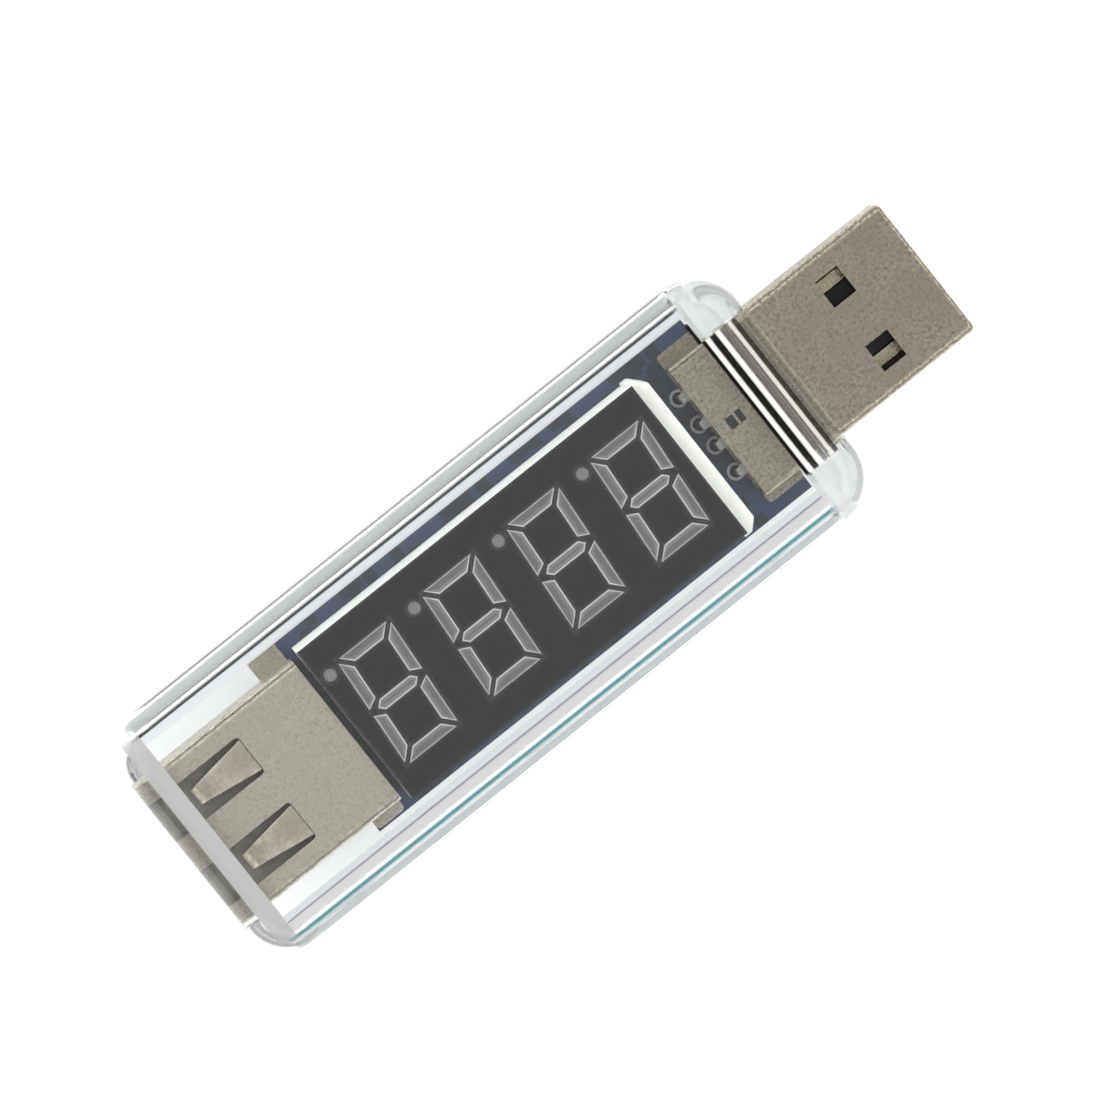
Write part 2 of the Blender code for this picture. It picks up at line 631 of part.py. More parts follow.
def build_display():
    """The LED display: housing, dark face, resin that fills the windows, substrate and pins."""
    half = DISPLAY_WIDTH / 2
    rear, front = DISPLAY_REAR_X, DISPLAY_FRONT_X
    bottom, wall = DISPLAY_BOTTOM_Z, DISPLAY_WALL
    origin = (DISPLAY_X, 0, bottom)

    housing = boxes("display_housing", [((rear, -half, bottom), (front, half, HOUSING_TOP_Z))], origin, HOUSING)
    bezel_half = BEZEL_WIDTH / 2
    bezel_top = HOUSING_TOP_Z - BEZEL_DROP
    low, high = (front - EMBED, -bezel_half, bottom), (front + BEZEL_LENGTH, bezel_half, bezel_top)
    boolean(housing, box_cutter("display_bezel", low, high), "UNION")
    foot_top = HOUSING_TOP_Z - FOOT_DROP
    for side, word in ((-1, "right"), (1, "left")):
        y = sorted((side * (half + FOOT_OUTWARD), side * (half + FOOT_OUTWARD - FOOT_WIDTH)))
        low, high = (front - EMBED, y[0], bottom), (front + FOOT_LENGTH, y[1], foot_top)
        boolean(housing, box_cutter(f"display_foot_{word}", low, high), "UNION")
    low = (rear + wall, -half + wall, bottom - CUT_PAST)
    high = (front - wall, half - wall, DECK_BOTTOM_Z)
    boolean(housing, box_cutter("display_hollow", low, high))
    windows = digit_prisms("display_windows", 0, DECK_BOTTOM_Z - RESIN_SLAB, FACE_TOP_Z + CUT_PAST)
    boolean(housing, windows)

    low, high = (rear, -half, FACE_BOTTOM_Z), (front, half, FACE_TOP_Z)
    face = boxes("display_face", [(low, high)], (DISPLAY_X, 0, FACE_BOTTOM_Z), FACE)
    boolean(face, windows)

    inside = wall + FIT_GAP
    slab_top = DECK_BOTTOM_Z - FIT_GAP
    low = (rear + inside, -half + inside, slab_top - RESIN_SLAB)
    high = (front - inside, half - inside, slab_top)
    resin = boxes("segment_resin", [(low, high)], (DISPLAY_X, 0, slab_top), RESIN)
    prisms = digit_prisms("segment_prisms", WINDOW_CLEARANCE, slab_top - RESIN_SLAB / 2, RESIN_TOP_Z)
    boolean(resin, prisms, "UNION")

    low = (rear + inside, -half + inside, SUBSTRATE_BOTTOM_Z)
    high = (front - inside, half - inside, SUBSTRATE_BOTTOM_Z + SUBSTRATE_THICKNESS)
    substrate = boxes("display_substrate", [(low, high)], (DISPLAY_X, 0, SUBSTRATE_BOTTOM_Z), SUBSTRATE)
    pin_top = SUBSTRATE_BOTTOM_Z + PIN_INTO_SUBSTRATE
    sockets = []
    for i, (x, y) in enumerate(pin_places()):
        reach = PIN_WIDTH / 2
        low, high = (x - reach, y - reach, PIN_END_Z), (x + reach, y + reach, pin_top)
        boxes(f"display_pin_{i + 1:02}", [(low, high)], (x, y, BOARD_TOP_Z), TINNED)
        reach += FIT_GAP
        sockets.append(
            ((x - reach, y - reach, SUBSTRATE_BOTTOM_Z - CUT_PAST), (x + reach, y + reach, pin_top + FIT_GAP))
        )
    boolean(substrate, boxes("substrate_pin_sockets", sockets, (DISPLAY_X, 0, SUBSTRATE_BOTTOM_Z)))


# Plug


def build_plug_shell():
    """The folded shell of the plug, with latch windows, stamp and solder feet."""
    half = PLUG_WIDTH / 2
    low = (PLUG_REAR_X, -half, ON_BOARD_Z)
    high = (PLUG_TIP_X, half, PLUG_TOP_Z)
    bm = bmesh.new()
    add_box(bm, low, high)
    round_edges(bm, edges_along(bm, 0), SHELL_CORNER_RADIUS, SHELL_SEGMENTS)
    round_edges(bm, edges_at(bm, 0, PLUG_TIP_X), PLUG_TIP_RADIUS, SHELL_SEGMENTS)
    open_ends(bm, (PLUG_TIP_X, PLUG_REAR_X))
    shell = finish("plug_shell", bm, (PLUG_REAR_X, 0, ON_BOARD_Z), SHELL_METAL, 35)
    add_sheet(shell)

    middle = PLUG_TIP_X - LATCH_TO_TIP
    for side, word in ((-1, "right"), (1, "left")):
        y = side * LATCH_SPACING / 2
        low = (middle - LATCH_LENGTH / 2, y - LATCH_WIDTH / 2, ON_BOARD_Z - CUT_PAST)
        high = (middle + LATCH_LENGTH / 2, y + LATCH_WIDTH / 2, PLUG_TOP_Z + CUT_PAST)
        boolean(shell, box_cutter(f"latch_window_{word}", low, high))
    stamp_x = PLUG_REAR_X + STAMP_CENTRE
    rear_stamp, front_stamp = STAMP_LENGTHS
    starts = (stamp_x - STAMP_BRIDGE / 2 - rear_stamp, stamp_x + STAMP_BRIDGE / 2)
    for start, length, word in zip(starts, (rear_stamp, front_stamp), ("rear", "front")):
        low = (start, -STAMP_WIDTH / 2, PLUG_TOP_Z - 2 * SHEET)
        high = (start + length, STAMP_WIDTH / 2, PLUG_TOP_Z + CUT_PAST)
        boolean(shell, box_cutter(f"stamp_{word}", low, high))
    rear_x = PLUG_REAR_X + FIT_GAP
    add_feet(shell, half, PLUG_REAR_X + PLUG_FOOT_LENGTH, rear_x, PLUG_FOOT_WIDTH)


def build_plug_inside():
    """The moulded block and tongue of the plug, and its four contact strips with their solder legs."""
    inside = SHEET + FIT_GAP
    half = PLUG_WIDTH / 2 - inside
    bottom, top = ON_BOARD_Z + inside, PLUG_TOP_Z - inside
    rear = PLUG_REAR_X + PLUG_BLOCK_REAR_INSET
    block_front = PLUG_TIP_X - PLUG_BLOCK_BEHIND_TIP
    tongue_front = PLUG_TIP_X - PLUG_TONGUE_BEHIND_TIP
    origin = (rear, 0, bottom)
    bm = bmesh.new()
    add_box(bm, (rear, -half, bottom), (block_front, half, top))
    round_edges(bm, edges_along(bm, 0), SHELL_CORNER_RADIUS - SHEET, SHELL_SEGMENTS)
    insulator = finish("plug_insulator", bm, origin, INSULATOR, 35)
    low, high = (block_front - CUT_PAST, -half, bottom), (tongue_front, half, PLUG_TONGUE_TOP_Z)
    bm = bmesh.new()
    add_box(bm, low, high)
    lower = [e for e in edges_along(bm, 0) if e.verts[0].co.z < PLUG_TONGUE_TOP_Z - MM / 2]
    round_edges(bm, lower, SHELL_CORNER_RADIUS - SHEET, SHELL_SEGMENTS)
    boolean(insulator, finish("plug_tongue", bm, (block_front, 0, bottom)), "UNION")

    strip_top = PLUG_TONGUE_TOP_Z + CONTACT_PROUD
    strip_z = strip_top - CONTACT_THICKNESS / 2
    strip_front = tongue_front - CONTACT_BEHIND_TONGUE_TIP
    grooves = []
    for i, y in enumerate(CONTACT_OFFSETS):
        reach = CONTACT_WIDTH / 2 + FIT_GAP
        low = (rear - CUT_PAST, y - reach, strip_top - CONTACT_THICKNESS - FIT_GAP)
        high = (strip_front + FIT_GAP, y + reach, strip_top + FIT_GAP)
        grooves.append((low, high))
        stations = [
            (strip_front, strip_z, CONTACT_WIDTH / 2),
            (rear, strip_z, CONTACT_WIDTH / 2),
            (plug_leg_x(), strip_z, LEG_WIDTH / 2),
            (plug_leg_x(), PIN_END_Z, LEG_WIDTH / 2),
        ]
        ribbon(f"plug_contact_{i + 1}", stations, CONTACT_THICKNESS, (plug_leg_x(), y, strip_z), CONTACT_METAL)
    boolean(insulator, boxes("plug_contact_grooves", grooves, origin))


# Socket


def build_socket_shell():
    """The folded shell of the socket, with flared mouth, spring windows and solder feet."""
    half = SOCKET_WIDTH / 2
    mouth_x = REAR_X + SOCKET_MOUTH_INSET
    flare_x = mouth_x + SOCKET_FLARE_LENGTH
    bm = bmesh.new()
    add_box(bm, (flare_x, -half, ON_BOARD_Z), (SOCKET_REAR_X, half, SOCKET_TOP_Z))
    round_edges(bm, edges_along(bm, 0), SHELL_CORNER_RADIUS, SHELL_SEGMENTS)
    inner_end = faces_at(bm, 0, flare_x)
    mouth = bmesh.ops.extrude_face_region(bm, geom=inner_end)["geom"]
    bmesh.ops.delete(bm, geom=[f for f in inner_end if f.is_valid], context="FACES_ONLY")
    spread_y = 1 + SOCKET_FLARE / half
    spread_z = 1 + SOCKET_FLARE / (SOCKET_HEIGHT / 2)
    for vert in [g for g in mouth if isinstance(g, bmesh.types.BMVert)]:
        z = SOCKET_CENTRE_Z + (vert.co.z - SOCKET_CENTRE_Z) * spread_z
        vert.co = (mouth_x, vert.co.y * spread_y, z)
    open_ends(bm, (mouth_x, SOCKET_REAR_X))
    shell = finish("socket_shell", bm, (SOCKET_REAR_X, 0, ON_BOARD_Z), SHELL_METAL, 35)
    add_sheet(shell)

    starts = (REAR_X - CUT_PAST, mouth_x + BOTTOM_WINDOW_FROM_MOUTH)
    heights = ((SOCKET_CENTRE_Z, SOCKET_TOP_Z + CUT_PAST), (ON_BOARD_Z - CUT_PAST, SOCKET_CENTRE_Z))
    for face, start_x, (low_z, high_z) in zip(("top", "bottom"), starts, heights):
        for y, word in zip(SPRING_OFFSETS, ("right", "left")):
            low = (start_x, y - SPRING_WINDOW_WIDTH / 2, low_z)
            high = (SPRING_ROOT_X, y + SPRING_WINDOW_WIDTH / 2, high_z)
            boolean(shell, box_cutter(f"spring_window_{face}_{word}", low, high))
    half_cut = SOCKET_FLOOR_CUT_WIDTH / 2
    low = (SOCKET_REAR_X - SOCKET_FLOOR_CUT_LENGTH, -half_cut, ON_BOARD_Z - CUT_PAST)
    high = (SOCKET_REAR_X + CUT_PAST, half_cut, ON_BOARD_Z + 2 * SHEET)
    boolean(shell, box_cutter("socket_floor_cut", low, high))
    foot_front = SOCKET_REAR_X - SOCKET_FOOT_FROM_REAR
    add_feet(shell, half, foot_front, foot_front - SOCKET_FOOT_LENGTH, SOCKET_FOOT_WIDTH)


def build_springs():
    """The four retention tongues. Each has its origin on the line that it bends about."""
    reach = SPRING_ROOT_X - FIT_GAP
    profile = [
        (0.0, 0.0),
        (0.45, 0.1),
        (0.7, 0.55),
        (0.8, 1.0),
        (0.88, 1.0),
        (0.95, 0.45),
    ]  # (share of the length, share of the bump's depth)
    taper = (SPRING_ROOT_WIDTH - SPRING_TIP_WIDTH) / 2
    for face, sheet_z, inwards in (
        ("top", SOCKET_TOP_Z - SHEET / 2, -1),
        ("bottom", ON_BOARD_Z + SHEET / 2, 1),
    ):
        for i, y in enumerate(SPRING_OFFSETS):
            stations = [
                (
                    reach - share * SPRING_LENGTH,
                    sheet_z + inwards * depth * SPRING_BUMP_DEPTH,
                    SPRING_ROOT_WIDTH / 2 - share * taper,
                )
                for share, depth in profile
            ]
            ribbon(f"socket_spring_{face}_{i + 1}", stations, SPRING_SHEET, (reach, y, sheet_z), SPRING_METAL)


def build_socket_inside():
    """The moulded block and tongue of the socket, its contact leaves and their fixed tails."""
    inside = SHEET + FIT_GAP
    half = SOCKET_WIDTH / 2 - inside
    bottom, top = ON_BOARD_Z + inside, SOCKET_TOP_Z - inside
    front, rear = SOCKET_BLOCK_FRONT_X, SOCKET_BLOCK_REAR_X
    tongue_front = REAR_X + SOCKET_TONGUE_BEHIND_MOUTH
    face = SOCKET_FACE_Z
    origin = (front, 0, face)
    bm = bmesh.new()
    add_box(bm, (front, -half, bottom), (rear, half, top))
    round_edges(bm, edges_along(bm, 0), SHELL_CORNER_RADIUS - SHEET, SHELL_SEGMENTS)
    insulator = finish("socket_insulator", bm, origin, INSULATOR, 35)
    half_tongue = SOCKET_TONGUE_WIDTH / 2
    low = (tongue_front, -half_tongue, face)
    high = (front + CUT_PAST, half_tongue, face + SOCKET_TONGUE_HEIGHT)
    boolean(insulator, box_cutter("socket_tongue", low, high), "UNION")

    root_z = face + LEAF_ROOT_ABOVE_FACE
    slot = CONTACT_THICKNESS / 2 + FIT_GAP
    cuts = []
    for i, y in enumerate(CONTACT_OFFSETS):
        reach = LEAF_GROOVE_WIDTH / 2
        groove_rear = front - FIT_GAP
        low = (front - LEAF_TIP_LENGTH - 2 * SLIDE_GAP, y - reach, face - CUT_PAST)
        cuts.append((low, (groove_rear, y + reach, face + LEAF_GROOVE_DEPTH)))
        reach = CONTACT_WIDTH / 2 + FIT_GAP
        low = (front - CUT_PAST, y - reach, root_z - slot)
        cuts.append((low, (rear + CUT_PAST, y + reach, root_z + slot)))
        leaf_root = front - 2 * FIT_GAP
        stations = [
            (leaf_root, root_z, CONTACT_WIDTH / 2),
            (front - LEAF_BOW_LENGTH, face - LEAF_BOW_BELOW_FACE, CONTACT_WIDTH / 2),
            (front - LEAF_TIP_LENGTH, face + LEAF_TIP_ABOVE_FACE, CONTACT_WIDTH / 2),
        ]
        place_y = (leaf_root, y, root_z)
        ribbon(f"socket_contact_{i + 1}", stations, CONTACT_THICKNESS, place_y, CONTACT_METAL)
        stations = [
            (front, root_z, CONTACT_WIDTH / 2),
            (rear, root_z, CONTACT_WIDTH / 2),
            (socket_leg_x(), root_z, LEG_WIDTH / 2),
            (socket_leg_x(), PIN_END_Z, LEG_WIDTH / 2),
        ]
        ribbon(f"socket_tail_{i + 1}", stations, CONTACT_THICKNESS, (rear, y, root_z), CONTACT_METAL)
    for i, corners in enumerate((cuts[0::2], cuts[1::2])):
        boolean(insulator, boxes(f"socket_contact_cuts_{i + 1}", corners, origin))


# Parts under the board: name, x, y, length, width, height, material
UNDERSIDE_PARTS = (
    ("microcontroller", DISPLAY_X - 1.75 * MM, 0.0, 8.7 * MM, 3.9 * MM, 1.35 * MM, CHIP),
    ("voltage_regulator", BOARD_FRONT_X - 13.2 * MM, 2.3 * MM, 2.5 * MM, 4.5 * MM, 1.4 * MM, CHIP),
    ("sense_diode", BOARD_FRONT_X - 9.0 * MM, 2.3 * MM, 2.6 * MM, 4.3 * MM, 1.4 * MM, CHIP),
    ("shunt_resistor", BOARD_FRONT_X - 10.8 * MM, -3.6 * MM, 6.3 * MM, 3.1 * MM, 0.6 * MM, CHIP),
    ("capacitor_1", BOARD_REAR_X + 9.1 * MM, 2.6 * MM, 3.2 * MM, 1.6 * MM, 1.2 * MM, CERAMIC),
    ("capacitor_2", BOARD_REAR_X + 9.1 * MM, -2.6 * MM, 3.2 * MM, 1.6 * MM, 1.2 * MM, CERAMIC),
    ("resistor_1", BOARD_REAR_X + 5.2 * MM, 2.6 * MM, 2.0 * MM, 1.25 * MM, 0.5 * MM, CHIP),
    ("resistor_2", BOARD_REAR_X + 5.2 * MM, 0.0, 2.0 * MM, 1.25 * MM, 0.5 * MM, CHIP),
    ("resistor_3", BOARD_REAR_X + 5.2 * MM, -2.6 * MM, 2.0 * MM, 1.25 * MM, 0.5 * MM, CHIP),
)
CHIP_LEADS_PER_SIDE = 7
CHIP_LEAD_PITCH = 1.27 * MM
CHIP_LEAD_SIZE = (0.4 * MM, 1.1 * MM, 0.5 * MM)


def build_underside():
    """The measuring parts, hanging from the board's underside."""
    for name, x, y, length, width, height, material in UNDERSIDE_PARTS:
        low = (x - length / 2, y - width / 2, UNDER_BOARD_Z - height)
        high = (x + length / 2, y + width / 2, UNDER_BOARD_Z)
        item = boxes(name, [(low, high)], (x, y, UNDER_BOARD_Z), material)
        if name != "microcontroller":
            continue
        along, outwards, tall = CHIP_LEAD_SIZE
        first = x - CHIP_LEAD_PITCH * (CHIP_LEADS_PER_SIDE - 1) / 2
        leads = []
        for i in range(CHIP_LEADS_PER_SIDE):
            middle = first + i * CHIP_LEAD_PITCH
            low = (middle - along / 2, y - width / 2 - outwards, UNDER_BOARD_Z - tall)
            high = (middle + along / 2, y + width / 2 + outwards, UNDER_BOARD_Z - FIT_GAP)
            leads.append((low, high))
        boolean(item, boxes("chip_leads", leads, (x, y, UNDER_BOARD_Z)), "UNION")


def main():
    """Builds the whole meter."""
    build_case((plug_opening(), socket_opening()))
    build_board()
    build_display()
    build_plug_shell()
    build_plug_inside()
    build_socket_shell()
    build_springs()
    build_socket_inside()
    build_underside()


main()
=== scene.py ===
"""Looks of the USB power meter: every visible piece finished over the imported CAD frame, in metres.

The frame's origin lies under the middle of the whole object. +X points at the plug, and +Z up through the
display.
"""

import logging
import math
from collections.abc import Iterable
from dataclasses import dataclass
from enum import Enum
from typing import ClassVar

import bmesh
import bpy
from mathutils import Matrix, Vector


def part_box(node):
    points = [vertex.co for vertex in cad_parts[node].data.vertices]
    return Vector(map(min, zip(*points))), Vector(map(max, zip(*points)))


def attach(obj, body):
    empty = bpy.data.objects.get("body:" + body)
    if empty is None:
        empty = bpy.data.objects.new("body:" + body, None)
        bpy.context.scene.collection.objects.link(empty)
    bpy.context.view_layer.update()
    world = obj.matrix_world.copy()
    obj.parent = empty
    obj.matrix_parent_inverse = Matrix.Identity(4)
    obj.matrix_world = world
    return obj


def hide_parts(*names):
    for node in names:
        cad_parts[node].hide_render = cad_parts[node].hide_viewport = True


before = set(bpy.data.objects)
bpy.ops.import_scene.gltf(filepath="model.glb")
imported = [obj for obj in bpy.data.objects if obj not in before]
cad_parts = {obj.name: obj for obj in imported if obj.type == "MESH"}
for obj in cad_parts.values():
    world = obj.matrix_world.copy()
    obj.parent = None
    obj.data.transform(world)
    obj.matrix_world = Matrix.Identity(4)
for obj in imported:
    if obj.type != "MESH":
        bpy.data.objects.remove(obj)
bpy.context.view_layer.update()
MM = 0.001
TINY = MM / 1000
CONTACTS = (1, 2, 3, 4)
FLAT_WEIGHT = 90  # how far a large face pulls the shading of its edges flat
log = logging.getLogger("power_meter")

Corner = tuple[float, float, float]
Outline = list[tuple[float, float]]
Tree = bpy.types.NodeTree
Link = bpy.types.NodeSocket
Material = bpy.types.Material
Item = bpy.types.Object
Shape = bmesh.types.BMesh
Vert = bmesh.types.BMVert
Edge = bmesh.types.BMEdge
Face = bmesh.types.BMFace


# Node and colour helpers


def linear(code: str) -> tuple[float, float, float, float]:
    """Turns an sRGB hex colour into linear RGBA.

    Args:
        code: six hex digits, such as "a0b1c2".

    Returns:
        Linear red, green and blue, and an alpha of 1.
    """
    shares = [int(code[i : i + 2], 16) / 255 for i in (0, 2, 4)]
    red, green, blue = (s / 12.92 if s <= 0.04045 else ((s + 0.055) / 1.055) ** 2.4 for s in shares)
    return red, green, blue, 1.0


def per(size: float) -> float:
    """The texture scale that makes a pattern repeat every size metres."""
    return 1.0 / size


def add_node(
    tree: Tree,
    kind: str,
    settings: dict[str, object] | None = None,
    links: dict[str | int, object] | None = None,
) -> bpy.types.Node:
    """Adds one node to a tree.

    Args:
        tree: the material's or the world's node tree.
        kind: the node's type name.
        settings: attributes of the node and their values.
        links: input sockets and what feeds them, either another node's output or a plain value.

    Returns:
        The new node.
    """
    node = tree.nodes.new(kind)
    for name, value in (settings or {}).items():
        setattr(node, name, value)
    for name, value in (links or {}).items():
        if isinstance(value, Link):
            tree.links.new(value, node.inputs[name])
        else:
            node.inputs[name].default_value = value
    return node


# Finishes


@dataclass(frozen=True)
class Finish:
    """What every finish shares: its name, and a tree that starts with the object's coordinates."""

    name: str
    octaves: ClassVar[float] = 0.6  # how strong each finer octave of a noise is

    def start(self) -> tuple[Material, Tree, Link]:
        """Makes the empty material.

        Returns:
            The material, its tree and the socket of its object coordinates.
        """
        material = bpy.data.materials.new(self.name)
        material.use_nodes = True
        tree = material.node_tree
        tree.nodes.clear()
        place = add_node(tree, "ShaderNodeTexCoord").outputs["Object"]
        return material, tree, place

    def end(self, tree: Tree, shader: Link) -> None:
        """Links the last shader to the output."""
        add_node(tree, "ShaderNodeOutputMaterial", links={"Surface": shader})

    def cloud(
        self, tree: Tree, place: Link, size: float, levels: tuple[float, float], detail: float = 2
    ) -> Link:
        """A soft noise of this feature size in metres, spread over 0 to 1 between two of its own levels.

        Args:
            tree: the tree to add to.
            place: the coordinates.
            size: the size of one feature.
            levels: the noise levels that give 0 and 1.
            detail: how many finer octaves it has.

        Returns:
            The spread noise.
        """
        settings = {"Vector": place, "Scale": per(size), "Detail": detail, "Roughness": self.octaves}
        noise = add_node(tree, "ShaderNodeTexNoise", links=settings).outputs["Fac"]
        low, high = levels
        settings = {"Value": noise, "From Min": low, "From Max": high}
        return add_node(tree, "ShaderNodeMapRange", links=settings).outputs["Result"]

    def blend(self, tree: Tree, share: Link, first: str | Link, second: str | Link) -> Link:
        """Mixes two colours by a share.

        Args:
            tree: the tree to add to.
            share: how much of the second colour there is.
            first: a hex code, or a socket that gives a colour.
            second: the same.

        Returns:
            The mixed colour.
        """
        node = add_node(tree, "ShaderNodeMix", {"data_type": "RGBA"}, {0: share})
        for index, colour in ((6, first), (7, second)):
            if isinstance(colour, str):
                node.inputs[index].default_value = linear(colour)
            else:
                tree.links.new(colour, node.inputs[index])
        return node.outputs[2]


@dataclass(frozen=True)
class SheetMetal(Finish):
    """Bright nickel over punched and folded steel.

    Rolling, tumbling and plating leave a warm grey with a fine mottle of matter and darker specks, and
    faint wider clouds from handling. The specks are drawn coarser than real ones, so that they show.
    """

    bright: str = "cfc8ba"
    dull: str = "a79f90"
    cloudy: str = "b9b2a4"
    speck: float = 0.35 * MM
    patch: float = 3.0 * MM
    smooth: float = 0.26
    rough: float = 0.46
    dent: float = 0.012 * MM
    speck_levels: tuple[float, float] = (0.38, 0.66)
    patch_levels: tuple[float, float] = (0.35, 0.7)
    patch_share: float = 0.45
    dent_strength: float = 0.6

    def build(self) -> Material:
        """Returns the material."""
        material, tree, place = self.start()
        specks = self.cloud(tree, place, self.speck, self.speck_levels, 3)
        patches = self.cloud(tree, place, self.patch, self.patch_levels)
        colour = self.blend(tree, specks, self.bright, self.dull)
        faint = add_node(tree, "ShaderNodeMath", {"operation": "MULTIPLY"}, {0: patches, 1: self.patch_share})
        colour = self.blend(tree, faint.outputs[0], colour, self.cloudy)
        roughness = add_node(
            tree, "ShaderNodeMapRange", links={"Value": specks, "To Min": self.smooth, "To Max": self.rough}
        ).outputs["Result"]
        dents = {"Height": specks, "Distance": self.dent, "Strength": self.dent_strength}
        bump = add_node(tree, "ShaderNodeBump", links=dents)
        shader = add_node(
            tree,
            "ShaderNodeBsdfPrincipled",
            links={
                "Base Color": colour,
                "Metallic": 1.0,
                "Roughness": roughness,
                "Normal": bump.outputs["Normal"],
            },
        )
        self.end(tree, shader.outputs[0])
        return material


@dataclass(frozen=True)
class Bands:
    """Lines that cross one axis on the case's skin.

    They are painted light and shade: seen from above, upright faces of a clear part show end-on as bright
    and dark lines, and round edges as grey ones, and these are painted on the skin as painted highlights,
    reflections and shade. Each band is where it starts and ends, its colour and how much it covers. other_low
    and other_high say where the lines start and end on the other axis, and fade how softly.
    """

    axis: str
    bands: tuple[tuple[float, float, str, float], ...]
    other_low: float
    other_high: float
    blur: float = 0.05 * MM
    fade: float = 0.3 * MM


@dataclass(frozen=True)
class ClearPlastic(Finish):
    """Clear polycarbonate from a polished mould.

    The faces are glossy with a very slight waviness from shrinkage. Light from lamps goes straight through,
    so that what is inside is lit. Over the round edges and the ends of upright walls, fine grey, white and
    dark lines are painted on the top skin: painted highlights, reflections and shade that stand in for the
    light that the clear walls bend and reflect.
    """

    bands: tuple[Bands, ...] = ()
    tint: str = "fbfcfc"
    skin_from: float = 10.3 * MM
    index: float = 1.5
    wave: float = 6.0 * MM
    wave_depth: float = 0.01 * MM
    skin_blur: float = 0.1 * MM
    line_roughness: float = 0.35
    line_shine: float = 0.1

    def build(self) -> Material:
        """Returns the material."""
        material, tree, place = self.start()
        waves = {"Vector": place, "Scale": per(self.wave), "Detail": 1.0}
        waves = add_node(tree, "ShaderNodeTexNoise", links=waves).outputs["Fac"]
        waves = {"Height": waves, "Distance": self.wave_depth, "Strength": 1.0}
        bump = add_node(tree, "ShaderNodeBump", links=waves)
        glass = add_node(
            tree,
            "ShaderNodeBsdfPrincipled",
            links={
                "Base Color": linear(self.tint),
                "Roughness": 0.0,
                "IOR": self.index,
                "Transmission Weight": 1.0,
                "Normal": bump.outputs["Normal"],
            },
        )
        axes = add_node(tree, "ShaderNodeSeparateXYZ", links={0: place}).outputs
        skin = self.step(tree, axes["Z"], self.skin_from, self.skin_blur)
        shader = glass.outputs[0]
        # Each set of bands mixes a matt layer of painted highlights, reflections and shade over the glass, on
        # the top skin only.
        for bands in self.bands:
            colour, cover = self.lines(tree, axes, bands)
            cover = add_node(tree, "ShaderNodeMath", {"operation": "MULTIPLY"}, {0: cover, 1: skin})
            painted_lines = add_node(
                tree,
                "ShaderNodeBsdfPrincipled",
                links={
                    "Base Color": colour,
                    "Roughness": self.line_roughness,
                    "Specular IOR Level": self.line_shine,
                },
            )
            ends = {0: cover.outputs[0], 1: shader, 2: painted_lines.outputs[0]}
            shader = add_node(tree, "ShaderNodeMixShader", links=ends).outputs[0]
        path = add_node(tree, "ShaderNodeLightPath")
        lamps = add_node(
            tree,
            "ShaderNodeMath",
            {"operation": "MAXIMUM"},
            {0: path.outputs["Is Shadow Ray"], 1: path.outputs["Is Diffuse Ray"]},
        )
        through = add_node(tree, "ShaderNodeBsdfTransparent", links={"Color": linear(self.tint)})
        mix = add_node(
            tree, "ShaderNodeMixShader", links={0: lamps.outputs[0], 1: shader, 2: through.outputs[0]}
        )
        self.end(tree, mix.outputs[0])
        return material

    def step(self, tree: Tree, value: Link, edge: float, blur: float, up: bool = True) -> Link:
        """A soft step, from 0 to 1 as a value passes an edge, or from 1 to 0.

        Args:
            tree: the material's tree.
            value: what passes the edge.
            edge: the value at the middle of the step.
            blur: how wide the step is.
            up: whether it goes from 0 to 1.

        Returns:
            The step.
        """
        ends = {"To Min": 0.0 if up else 1.0, "To Max": 1.0 if up else 0.0}
        return add_node(
            tree,
            "ShaderNodeMapRange",
            {"interpolation_type": "SMOOTHSTEP"},
            {"Value": value, "From Min": edge - blur / 2, "From Max": edge + blur / 2} | ends,
        ).outputs["Result"]

    def lines(self, tree: Tree, axes: bpy.types.NodeOutputs, bands: Bands) -> tuple[Link, Link]:
        """The colour and the cover of one set of bands.

        Args:
            tree: the material's tree.
            axes: the outputs of the separated coordinates.
            bands: the bands.

        Returns:
            The colour, and the cover from 0 to 1.
        """
        along, across = (axes["X"], axes["Y"]) if bands.axis == "X" else (axes["Y"], axes["X"])
        start, end = bands.bands[0][0] - bands.blur, bands.bands[-1][1] + bands.blur
        share = add_node(
            tree, "ShaderNodeMapRange", links={"Value": along, "From Min": start, "From Max": end}
        ).outputs["Result"]
        ramp = add_node(tree, "ShaderNodeValToRGB", links={"Fac": share})
        elements = ramp.color_ramp.elements
        half = bands.blur / 2
        for low, high, code, cover in bands.bands:
            edges = (low - half, 0.0), (low + half, cover), (high - half, cover), (high + half, 0.0)
            for at, shown in edges:
                stop = elements.new((at - start) / (end - start))
                stop.color = (*linear(code)[:3], shown)
        for stop, band in ((elements[0], bands.bands[0]), (elements[-1], bands.bands[-1])):
            stop.color = (*linear(band[2])[:3], 0.0)
        low = self.step(tree, across, bands.other_low, bands.fade)
        high = self.step(tree, across, bands.other_high, bands.fade, up=False)
        inside = add_node(tree, "ShaderNodeMath", {"operation": "MULTIPLY"}, {0: low, 1: high}).outputs[0]
        cover = add_node(
            tree, "ShaderNodeMath", {"operation": "MULTIPLY"}, {0: ramp.outputs["Alpha"], 1: inside}
        ).outputs[0]
        return ramp.outputs["Color"], cover
